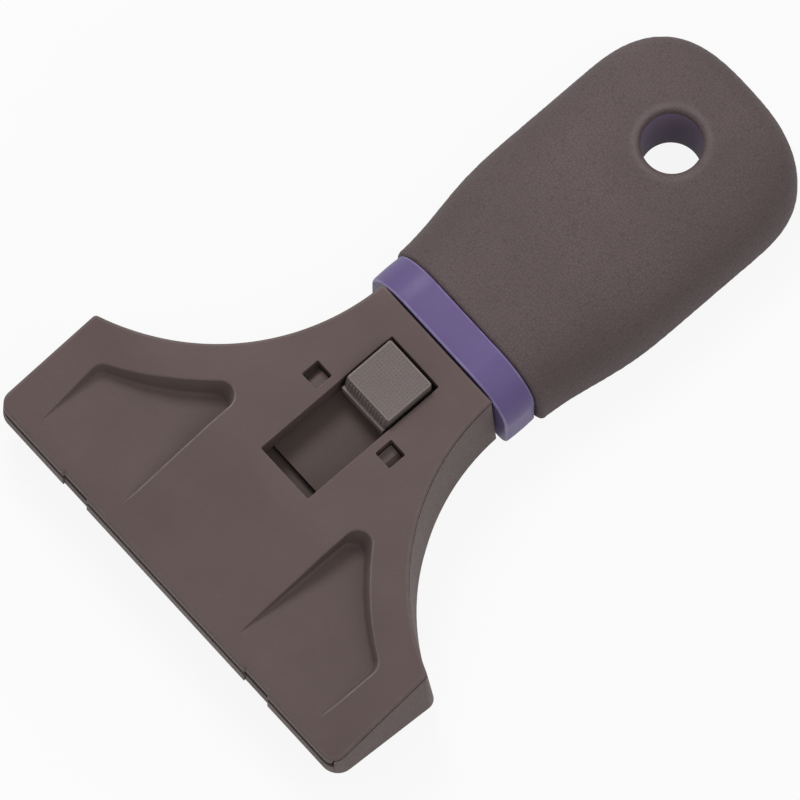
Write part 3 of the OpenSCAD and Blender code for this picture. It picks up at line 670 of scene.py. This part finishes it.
def pocket_side(lean):
    """Right pocket's outline from its inner front end round the rear to its outer front end."""
    r, front = POCKET_R, SLOPE_L * (POCKET_Z - LIP_TOP) / (HEAD_T - LIP_TOP)
    x0, x1 = POCKET_X, HEAD_W / 2 - END_DRAFT - END_RIM - lean
    hollow = WAIST_R + WAIST_DRAFT + WAIST_RIM + lean
    y0, y1 = (WAIST_Y - math.sqrt((hollow + r) ** 2 - (WAIST_X - x) ** 2) for x in (x0 + r, x1 - r))
    turn0 = math.atan2(WAIST_Y - y0, WAIST_X - x0 - r)
    turn1 = math.atan2(WAIST_Y - y1, WAIST_X - x1 + r)
    inner = [(x0, y) for y in spread(front, y0, steps=30)]
    near = arc((x0 + r, y0), r, math.pi, turn0, steps=12)
    rear = arc((WAIST_X, WAIST_Y), hollow, math.pi + turn0, math.pi + turn1, steps=24)
    far = arc((x1 - r, y1), r, turn1, 0, steps=10)
    outer = [(x1, y) for y in spread(y1, front, steps=20)]
    return inner + near[1:] + rear[1:] + far[1:] + outer[1:]


def pocket_column(foot, rim, out):
    """Points up a pocket's wall from its bent foot to its rounded rim."""
    rise = max(top_z(foot[1]) - POCKET_Z, 0)
    crest = between(foot, rim, rise / (HEAD_T - POCKET_Z))
    edge = min(POCKET_EDGE, POCKET_EDGE_SHARE * rise)
    bend = min(POCKET_BEND, POCKET_BEND_SHARE * rise)
    column = []
    for turn in spread(0, QUARTER, steps=3):
        up = bend * (1 - math.cos(turn))
        on_wall = between(foot, crest, up / rise if rise else 0)
        column.append((*(Vector(on_wall) - out * bend * (1 - math.sin(turn))), POCKET_Z + up))
    for turn in spread(QUARTER, 0, steps=4):
        drop = edge * (1 - math.cos(turn))
        point = Vector(crest) + out * edge * (1 - math.sin(turn))
        column.append((*point, top_z(point.y) - drop))
    return column


def pocket_rows(mesh, side):
    """Walls of a pocket from its floor up to its rim, with rounded edges; returns the two closed end rows.

    The rim carries rubbing and a painted highlight, most where it faces -X, towards the key light.
    """
    low, high = pocket_side(POCKET_DRAFT), pocket_side(0)
    columns, rub_and_lit_share = [], []
    for i, (foot, rim) in enumerate(zip(low, high)):
        before, after = high[max(i - 1, 0)], high[min(i + 1, len(high) - 1)]
        along = Vector((after[0] - before[0], after[1] - before[1])).normalized()
        out = Vector((-along.y, along.x))
        columns.append(pocket_column(foot, rim, out))
        # Painted highlight: rims that face -X, towards the key light, get the whole share, the others only
        # the least share of rubbing
        rub_and_lit_share.append(POCKET_LEAST_RUB_AND_HIGHLIGHT + (1 - POCKET_LEAST_RUB_AND_HIGHLIGHT) * max(side * out.x, 0))
    if side < 0:
        columns = [[(-x, y, z) for x, y, z in column] for column in columns]
    first, last = ring(mesh, [columns[0][0]]), ring(mesh, [columns[-1][0]])
    rows = [first + ring(mesh, row, rub_and_highlight) + last for row, rub_and_highlight in zip(zip(*columns[1:-1]), POCKET_RUB_AND_HIGHLIGHT_ROWS)]
    carried = mesh.verts.layers.float[RUB_AND_HIGHLIGHT]
    for row in rows:
        for vert, part in zip(row[1:-1], rub_and_lit_share[1:-1]):
            vert[carried] *= part
    skin(mesh, rows, closed=False)
    shares = spread(0, 1, steps=12)[1:-1]
    front = ring(mesh, [between(columns[-1][0], columns[0][0], share) for share in shares])
    return rows[0] + front, rows[-1] + front


def crease_points(mesh, outer, holes):
    """Vertices that carry the soft bend between the flat and the sloping part."""
    across = range(-CREASE_STEPS, CREASE_STEPS + 1)
    along = spread(SLOPE_L - CREASE_HALF, SLOPE_L + CREASE_HALF, steps=8)
    flat = np.array([(CREASE_STEP * i * MM, (y + LIP_Y) * MM) for i in across for y in along])
    wanted = open_area(flat, outer, holes)
    rims = np.array([vert.co.xy for loop in (outer, *holes) for vert in loop])
    gaps = np.sqrt(((flat[:, None, :] - rims[None, :, :]) ** 2).sum(axis=2)).min(axis=1)
    chosen = flat[wanted & (gaps > CREASE_CLEAR * MM)] / MM
    return ring(mesh, [(x, y - LIP_Y, top_z(y - LIP_Y)) for x, y in chosen])


def snap_ledge(mesh, side):
    """Ledge inside a square well that the hook of the lower shell holds."""
    reach = SNAP_W / 2 + SNAP_LEDGE_OVER
    xs = sorted((side * (SNAP_X + SNAP_LEDGE_X), side * (SNAP_X + reach)))
    block(mesh, *xs, SNAP_Y - reach, SNAP_Y + reach,
          SNAP_LEDGE_Z - SNAP_LEDGE_T, SNAP_LEDGE_Z, SNAP_LEDGE_EDGE)


def head_cover():
    """Upper cover: sloping face, two pockets, window, two square wells and a rounded rim."""
    mesh = new_mesh()
    rows = []
    for inset, drop, rub_and_highlight in quarter_round(COVER_EDGE, steps=5):
        loop = head_loop(inset, lambda spot, y: top_z(y) - drop)
        rows.append(ring(mesh, loop, COVER_RUB_AND_HIGHLIGHT * rub_and_highlight))
    for inset, rise in (*SEAM_ROUND, (WALL, 0)):
        rows.append(ring(mesh, head_loop(inset, lambda spot, y: top_z(y) + rise - seam_drop(spot))))
    rows.append(ring(mesh, head_loop(WALL, lambda spot, y: min(UNDER_Z, top_z(y) - LIP_ROOF))))
    skin(mesh, rows)
    openings = [opening(mesh, WINDOW[:2], WINDOW[2:], WINDOW_EDGE)]
    openings += [opening(mesh, (side * SNAP_X, SNAP_Y), (SNAP_W, SNAP_W), SNAP_EDGE) for side in (-1, 1)]
    pockets = [pocket_rows(mesh, side) for side in (-1, 1)]
    for floor, _ in pockets:
        fill(mesh, floor)
    holes = [upper for upper, _ in openings] + [rim for _, rim in pockets]
    fill(mesh, rows[0], holes, crease_points(mesh, rows[0], holes))
    fill(mesh, rows[-1], [lower for _, lower in openings])
    for side in (-1, 1):
        snap_ledge(mesh, side)
    piece("head_cover", mesh, head_plastic, "head_plastic", "housing", "head_front_shell")


head_cover()


# Slide button

BUTTON_X = 6.8
BUTTON_Y = (58.4, 71.0)
BUTTON_FRONT = 57.4
BUTTON_FOOT = 56.7
BUTTON_Z = 18.6
BUTTON_LEDGE_Z = 22.0
# Pad's edge rounding, corner radius, and the share of rubbing and painted highlight on its edge
BUTTON_EDGE, BUTTON_R, BUTTON_RUB_AND_HIGHLIGHT = 0.45, 0.6, 0.8
# Foot ledge: side inset, overlap into the button, and its top's share of rubbing and painted highlight
FOOT_INSET, FOOT_OVER, FOOT_RUB_AND_HIGHLIGHT = 0.1, 0.2, 0.9
PAD_Z = 26.4
PAD_FRONT = BUTTON_Y[0] - 0.15
DOT_ROWS, DOT_COLUMNS, DOT_STEP, DOT_START = 16, 17, 0.74, 0.72
DOT_R, DOT_H, DOT_SUNK = 0.24, 0.1, 0.05
# Upper rows of a dot, as shares of its radius and its height
DOT_CURVE = ((0.86, 0.55), (0.45, 0.92))
STUD_ROWS, STUD_COLUMNS, STUD_STEP_X, STUD_STEP_Z, STUD_START = 4, 14, 0.88, 0.85, 0.75
STUD_HALF, STUD_OUT, STUD_IN, STUD_EDGE = 0.28, 0.22, 0.3, 0.12
SPRING_R, SPRING_TOP = 3.25, 23.9
LEG_X, LEG_T, LEG_LOW, LEG_ROOT, BARB, BARB_T = 3.0, 1.6, 12.2, 0.3, 0.8, 1.5


def dome(mesh, x, y, z, r, h):
    """Low round dot that stands on a flat face."""
    heights = [(1, -DOT_SUNK)] + [(out, up * h) for out, up in DOT_CURVE]
    rows = [ring(mesh, level(circle((x, y), r * out, sides=8), z + up)) for out, up in heights]
    skin(mesh, rows)
    mesh.faces.new(rows[0])
    top = ring(mesh, [(x, y, z + h)])[0]
    fan(mesh, rows[-1], top)


def pad_dots(mesh):
    """Rows of dots on the pad."""
    for row in range(DOT_ROWS):
        for column in range(DOT_COLUMNS):
            x = DOT_STEP * (column - (DOT_COLUMNS - 1) / 2)
            dome(mesh, x, BUTTON_Y[0] + DOT_START + DOT_STEP * row, PAD_Z, DOT_R, DOT_H)


def front_studs(mesh):
    """Rows of square studs on the steep front."""
    steep_h = PAD_Z - BUTTON_EDGE - BUTTON_LEDGE_Z
    for row in range(STUD_ROWS):
        z = BUTTON_LEDGE_Z + STUD_START + STUD_STEP_Z * row
        y = BUTTON_FRONT + (z - BUTTON_LEDGE_Z) * (PAD_FRONT - BUTTON_FRONT) / steep_h
        for column in range(STUD_COLUMNS):
            x = STUD_STEP_X * (column - (STUD_COLUMNS - 1) / 2)
            block(mesh, x - STUD_HALF, x + STUD_HALF, y - STUD_OUT, y + STUD_IN,
                  z - STUD_HALF, z + STUD_HALF, STUD_EDGE)


def button_legs(mesh):
    """Two barbed legs that go through the deck."""
    for side, y in ((-1, BUTTON_Y[0] + LEG_T), (1, BUTTON_Y[1] - LEG_T)):
        block(mesh, -LEG_X, LEG_X, y - LEG_T / 2, y + LEG_T / 2, LEG_LOW, BUTTON_Z + LEG_ROOT)
        ys = sorted((y, y + side * (LEG_T / 2 + BARB)))
        block(mesh, -LEG_X, LEG_X, *ys, LEG_LOW, LEG_LOW + BARB_T)


def slide_button():
    """Thumb button: dotted pad, studded steep front, foot ledge, spring hollow and two barbed legs."""
    mesh = new_mesh()
    end = BUTTON_Y[1]
    profile = [(BUTTON_Z, BUTTON_FRONT, 0.0), (BUTTON_LEDGE_Z, BUTTON_FRONT, 0.0),
               (PAD_Z - BUTTON_EDGE, PAD_FRONT, 0.0)]
    rounded = quarter_round(BUTTON_EDGE, steps=5)[1:]
    profile += [(PAD_Z - drop, PAD_FRONT, inset) for drop, inset, _ in rounded]
    rows = []
    for z, front, inset in profile:
        centre, size = (0, (front + end) / 2), (2 * BUTTON_X, end - front)
        rub_and_highlight = BUTTON_RUB_AND_HIGHLIGHT * math.sin(math.pi * inset / BUTTON_EDGE)
        rows.append(ring(mesh, level(round_box(centre, size, BUTTON_R - inset, -inset), z), rub_and_highlight))
    skin(mesh, rows)
    fill(mesh, rows[-1])
    centre = (0, sum(BUTTON_Y) / 2)
    hollow = [ring(mesh, level(circle(centre, SPRING_R, sides=40), z)) for z in (BUTTON_Z, SPRING_TOP)]
    skin(mesh, hollow)
    mesh.faces.new(hollow[1])
    fill(mesh, rows[0], [hollow[0]])
    block(mesh, -BUTTON_X + FOOT_INSET, BUTTON_X - FOOT_INSET, BUTTON_FOOT, BUTTON_FRONT + FOOT_OVER,
          BUTTON_Z, BUTTON_LEDGE_Z, rub_and_highlight=FOOT_RUB_AND_HIGHLIGHT)
    pad_dots(mesh)
    front_studs(mesh)
    button_legs(mesh)
    piece("slide_button", mesh, button_plastic, "button_plastic", "button", "thumb_button")


slide_button()


# Spring under the button

SPRING_Z = (16.95, 23.45)
COIL_R, WIRE_R = 2.3, 0.35
TURNS, TURN_STEPS, END_PITCH = 5, 24, 0.8


def wound_spring():
    """Coil spring with one close turn at each end, built at one length; the button presses the real spring
    flatter.
    """
    mesh = new_mesh()
    low, high = SPRING_Z
    heights = [low, low + END_PITCH, high - END_PITCH, high]
    centre_y = sum(BUTTON_Y) / 2
    rows = []
    for turn in spread(0, TURNS, TURN_STEPS * TURNS):
        z = float(np.interp(turn, [0, 1, TURNS - 1, TURNS], heights))
        a = 2 * math.pi * turn
        wire = circle((COIL_R, z), WIRE_R, sides=10)
        rows.append(ring(mesh, [(r * math.cos(a), centre_y + r * math.sin(a), up) for r, up in wire]))
    skin(mesh, rows)
    close_ends(mesh, rows)
    spring = piece("wound_spring", mesh, stainless, "stainless", "blade_set", "button_spring")
    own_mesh(spring)


wound_spring()


# Collar band

COLLAR_Y, COLLAR_L, COLLAR_W, COLLAR_T = 78.85, 8.45, 44.2, 24.6
COLLAR_TOP_R, COLLAR_LOW_R = 12.0, 3.0
# Collar's edge rounding and its steps, crown, and the share of rubbing and painted highlight on its rear
# edge
COLLAR_EDGE, COLLAR_EDGE_STEPS, COLLAR_CROWN, COLLAR_REAR_RUB_AND_HIGHLIGHT = 0.6, 5, 0.15, 0.6
SHANK_X, SHANK_Z = 13.1, (2.2, 19.4)


def collar_loop(inset):
    """Outline of the band as it is seen from the front, drawn in by an inset."""
    half, points = COLLAR_W / 2, []
    high, low = (COLLAR_T - COLLAR_TOP_R, COLLAR_TOP_R, 24), (COLLAR_LOW_R, COLLAR_LOW_R, 8)
    for corner, (sx, (z, r, steps)) in enumerate(((1, high), (-1, high), (-1, low), (1, low))):
        start = corner * QUARTER
        points += arc((sx * (half - r), z), r - inset, start, start + QUARTER, steps)
    return points


def collar_band():
    """Purple band: crowned a little, with round edges, over the core's shank."""
    mesh = new_mesh()
    # Its rounded edges carry rubbing and a painted highlight, the rear edge less
    profile = [(y, inset, rub_and_highlight) for inset, y, rub_and_highlight in quarter_round(COLLAR_EDGE, COLLAR_EDGE_STEPS)]
    profile += [(y, 0, 0) for y in spread(COLLAR_EDGE, COLLAR_L - COLLAR_EDGE, steps=8)[1:-1]]
    front_edge = profile[COLLAR_EDGE_STEPS::-1]
    profile += [(COLLAR_L - y, inset, COLLAR_REAR_RUB_AND_HIGHLIGHT * rub_and_highlight) for y, inset, rub_and_highlight in front_edge]
    rows = []
    for y, inset, rub_and_highlight in profile:
        crown = COLLAR_CROWN * (2 * y / COLLAR_L - 1) ** 2
        rows.append(ring(mesh, [(x, COLLAR_Y + y, z) for x, z in collar_loop(inset + crown)], rub_and_highlight))
    skin(mesh, rows)
    close_ends(mesh, rows)
    shank = new_mesh()
    block(shank, -SHANK_X, SHANK_X, COLLAR_Y - OVERCUT, COLLAR_Y + COLLAR_L + OVERCUT, *SHANK_Z)
    band = cut(mesh, shank)
    piece("collar_band", band, purple_plastic, "purple_plastic", "housing", "collar_ring")


collar_band()


# Soft grip

GRIP_Y, GRIP_L, GRIP_W, GRIP_FRONT_W, GRIP_T = 87.4, 82.0, 55.0, 47.6, 24.6
GRIP_WIDE_Z, GRIP_FLARE_L, GRIP_END_L, GRIP_NOSE_L, GRIP_LEAD, FULLNESS = 5.0, 38.0, 24.0, 9.0, 1.2, 2.7
GRIP_SIDES = 300
HOLE_Y, HOLE_R, HOLE_LIP, TUBE_R = 146.2, 6.8, 1.6, 8.5
HOLE_SIDES, HOLE_LIP_STEPS, HOLE_LIP_OVER = 72, 10, 0.12
# Paler ring on the hole's upper lip, rubbing and a painted highlight: its share, width and reach in widths
HOLE_RUB_AND_HIGHLIGHT, HOLE_RUB_AND_HIGHLIGHT_W, HOLE_RUB_AND_HIGHLIGHT_REACH = 0.45, 0.7, 3
PEBBLE_SIZE, PEBBLE_DEPTH, PEBBLE_REACH = 1.25, 0.07, 0.75
CORE_X, CORE_Z, CORE_Y, CORE_GAP = 17.0, (5.3, 19.3), 91.4, 0.1


def bow(t):
    """Share of the full width along a bowed end, from 1 at its start to 0 at its tip."""
    return 1.0 if t <= 0 else 0.0 if t >= 1 else (1 - t ** FULLNESS) ** (1 / FULLNESS)


def lead_in(s):
    """Inset of the rounded front edge at a distance from the front."""
    return 0.0 if s >= GRIP_LEAD else GRIP_LEAD - math.sqrt(s * (2 * GRIP_LEAD - s))


def grip_ring(s):
    """Points round the grip at a distance from its front."""
    t = min(s / GRIP_FLARE_L, 1)
    swell = math.sin(QUARTER * t * t * (3 - 2 * t))
    narrowing = bow((s - GRIP_L + GRIP_END_L) / GRIP_END_L)
    half = (GRIP_FRONT_W + (GRIP_W - GRIP_FRONT_W) * swell) / 2 * narrowing
    half -= lead_in(s)
    share = bow((s - GRIP_L + GRIP_NOSE_L) / GRIP_NOSE_L) * (1 - lead_in(s) / GRIP_T)
    points = []
    for turn in spread(0, 2 * math.pi, GRIP_SIDES)[:-1]:
        across, up = (math.copysign(abs(v) ** (2 / FULLNESS), v) for v in (math.cos(turn), math.sin(turn)))
        rise = GRIP_T - GRIP_WIDE_Z if up >= 0 else GRIP_WIDE_Z
        points.append((half * across, GRIP_Y + s, GRIP_WIDE_Z + rise * share * up))
    return points


def pebbled(mesh):
    """Pushes vertices in between small raised cells."""
    bmesh.ops.recalc_face_normals(mesh, faces=mesh.faces)
    mesh.normal_update()
    for vert in mesh.verts:
        near, _ = noise.voronoi(vert.co / (PEBBLE_SIZE * MM))
        vert.co -= vert.normal * PEBBLE_DEPTH * MM * min(near[0] / PEBBLE_REACH, 1) ** 2


def hole_solid():
    """Solid of the hanging hole: round lips and a wider middle that holds the liner."""
    last = QUARTER + HOLE_LIP_OVER
    low = arc((HOLE_R + HOLE_LIP, HOLE_LIP), HOLE_LIP, -last, -math.pi, HOLE_LIP_STEPS)
    high = arc((HOLE_R + HOLE_LIP, GRIP_T - HOLE_LIP), HOLE_LIP, math.pi, last, HOLE_LIP_STEPS)
    profile = [(low[0][0], -OVERCUT)] + low + [(TUBE_R, HOLE_LIP), (TUBE_R, GRIP_T - HOLE_LIP)]
    profile += high + [(high[-1][0], GRIP_T + OVERCUT)]
    mesh = new_mesh()
    rows = [ring(mesh, level(circle((0, HOLE_Y), r, HOLE_SIDES, start=math.pi / HOLE_SIDES), z))
            for r, z in profile]
    skin(mesh, rows)
    close_ends(mesh, rows)
    return mesh


def lip_rub_and_highlight(mesh):
    """Paler ring on the upper lip of the hanging hole: rubbing and a painted highlight."""
    carried = mesh.verts.layers.float[RUB_AND_HIGHLIGHT]
    centre = Vector((0, (HOLE_Y + LIP_Y) * MM))
    for vert in mesh.verts:
        off = ((vert.co.xy - centre).length / MM - HOLE_R - HOLE_LIP) / HOLE_RUB_AND_HIGHLIGHT_W
        if vert.co.z > GRIP_T / 2 * MM and abs(off) < HOLE_RUB_AND_HIGHLIGHT_REACH:
            vert[carried] = HOLE_RUB_AND_HIGHLIGHT * math.exp(-off * off)


def soft_grip():
    """Palm grip with a fine pebble and a hanging hole between soft lips."""
    mesh = new_mesh()
    core_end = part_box("handle_core")[1].y / MM - LIP_Y
    body_end = GRIP_L - GRIP_END_L
    stations = [GRIP_LEAD * (1 - math.cos(turn)) for turn in spread(0, QUARTER, steps=8)[:-1]]
    stations += spread(GRIP_LEAD, body_end, steps=125)[:-1]
    stations += [body_end + GRIP_END_L * math.sin(turn) for turn in spread(0, QUARTER, steps=70)[:-1]]
    rows = [ring(mesh, grip_ring(s)) for s in stations]
    skin(mesh, rows)
    mesh.faces.new(rows[0])
    tip = ring(mesh, [(0, GRIP_Y + GRIP_L, GRIP_WIDE_Z)])[0]
    fan(mesh, rows[-1], tip)
    pebbled(mesh)
    mesh = cut(mesh, hole_solid())
    lip_rub_and_highlight(mesh)
    shank_room = (SHANK_X, (GRIP_Y - OVERCUT, CORE_Y), SHANK_Z)
    core_room = (CORE_X + CORE_GAP, (CORE_Y - CORE_GAP, core_end + CORE_GAP),
                 (CORE_Z[0] - CORE_GAP, CORE_Z[1] + CORE_GAP))
    for half, ys, zs in (shank_room, core_room):
        room = new_mesh()
        block(room, -half, half, *ys, *zs)
        mesh = cut(mesh, room)
    piece("soft_grip", mesh, grip_rubber, "grip_rubber", "housing", "grip_sleeve")


soft_grip()


# Floor, light and camera

FLOOR_HALF, FLOOR_STEPS, FLOOR_DROP = 4.0, 8, 0.2 * MM
# Distance over which the floor turns fully white to the eye, and its whiteness at the object
FLOOR_NEAR, FLOOR_FAR, FLOOR_WHITENESS = 0.10, 0.20, 0.90
SKY_LIGHT = 0.58


def floor_paint():
    """Near-white floor that is plain white to the eye and keeps a soft shadow; see-through from below."""
    made, tree, surface = material("floor_paint", Roughness=0.9)
    surface["Base Color"].default_value = FLOOR_GREY
    seen = add(tree, "LightPath").outputs
    glossy = add(tree, "Math", {0: seen["Is Camera Ray"], 1: seen["Is Glossy Ray"]}, operation="MAXIMUM")
    any_eye = add(tree, "Math", {0: glossy.outputs[0], 1: seen["Is Transmission Ray"]}, operation="MAXIMUM")
    away = add(tree, "VectorMath", {0: add(tree, "TexCoord").outputs["Object"]}, operation="LENGTH")
    whiteness = stretch(tree, away.outputs["Value"], FLOOR_NEAR, FLOOR_FAR, FLOOR_WHITENESS, 1.0)
    share = add(tree, "Math", {0: any_eye.outputs[0], 1: whiteness}, operation="MULTIPLY")
    white = add(tree, "Emission", {"Color": WHITE, "Strength": 1.0})
    lit = add(tree, "MixShader", {0: share.outputs[0]})
    tree.links.new(tree.nodes["Principled BSDF"].outputs[0], lit.inputs[1])
    tree.links.new(white.outputs[0], lit.inputs[2])
    clear = add(tree, "BsdfTransparent")
    side = add(tree, "MixShader", {0: add(tree, "NewGeometry").outputs["Backfacing"]})
    tree.links.new(lit.outputs[0], side.inputs[1])
    tree.links.new(clear.outputs[0], side.inputs[2])
    tree.links.new(side.outputs[0], tree.nodes["Material Output"].inputs["Surface"])
    return made


def lay_floor():
    """Wide floor just under the object."""
    grid = bmesh.new()
    bmesh.ops.create_grid(grid, x_segments=FLOOR_STEPS, y_segments=FLOOR_STEPS, size=FLOOR_HALF)
    mesh = bpy.data.meshes.new("floor")
    grid.to_mesh(mesh)
    grid.free()
    mesh.materials.append(floor_paint())
    floor = bpy.data.objects.new("floor", mesh)
    floor.location.z = -FLOOR_DROP
    bpy.context.scene.collection.objects.link(floor)


def light_world():
    """Even light from all round, plain white to the eye."""
    world = bpy.data.worlds.new("studio")
    bpy.context.scene.world = world
    world.use_nodes = True
    tree = world.node_tree
    seen = add(tree, "LightPath").outputs
    glow = add(tree, "Math", {0: seen["Is Camera Ray"], 1: 1 - SKY_LIGHT, 2: SKY_LIGHT},
               operation="MULTIPLY_ADD")
    sky = tree.nodes["Background"]
    sky.inputs["Color"].default_value = WHITE
    tree.links.new(glow.outputs[0], sky.inputs["Strength"])


def soft_box(name, direction, distance, size, watts):
    """Square lamp that looks at the object."""
    lamp = bpy.data.lights.new(name, "AREA")
    lamp.size = size
    lamp.energy = watts
    stand = bpy.data.objects.new(name, lamp)
    away = Vector(direction).normalized()
    stand.location = away * distance
    stand.rotation_euler = (-away).to_track_quat("-Z", "Y").to_euler()
    bpy.context.scene.collection.objects.link(stand)


def set_camera():
    """Camera at the photo's viewing angle, with the object at the photo's place and scale."""
    turn, height = VIEW_TURN, VIEW_HEIGHT
    right = Vector((math.cos(turn), math.sin(turn), 0))
    back = Vector((math.sin(turn) * math.cos(height), -math.cos(turn) * math.cos(height), math.sin(height)))
    up = back.cross(right)
    pixel = 1 / (PIXELS_PER_MM / MM)
    target = Vector((0, 0, ORIGIN_HEIGHT))
    target -= right * (ORIGIN_PIXEL[0] - PICTURE / 2) * pixel
    target += up * (ORIGIN_PIXEL[1] - PICTURE / 2) * pixel
    lens = bpy.data.cameras.new("camera")
    lens.sensor_width = SENSOR_W
    lens.lens = lens.sensor_width * VIEW_DISTANCE / (PICTURE * pixel)
    lens.clip_end = FAR_CLIP
    camera = bpy.data.objects.new("camera", lens)
    camera.location = target + back * VIEW_DISTANCE
    camera.rotation_euler = back.to_track_quat("Z", "Y").to_euler()
    bpy.context.scene.collection.objects.link(camera)
    bpy.context.scene.camera = camera


lay_floor()
light_world()
soft_box("key", direction=(-0.54, 0.24, 0.80), distance=0.9, size=0.28, watts=3.9)
soft_box("fill", direction=(0.62, 0.1, 0.78), distance=1.2, size=0.8, watts=2.6)
set_camera()
bpy.context.scene.view_settings.view_transform = "Standard"
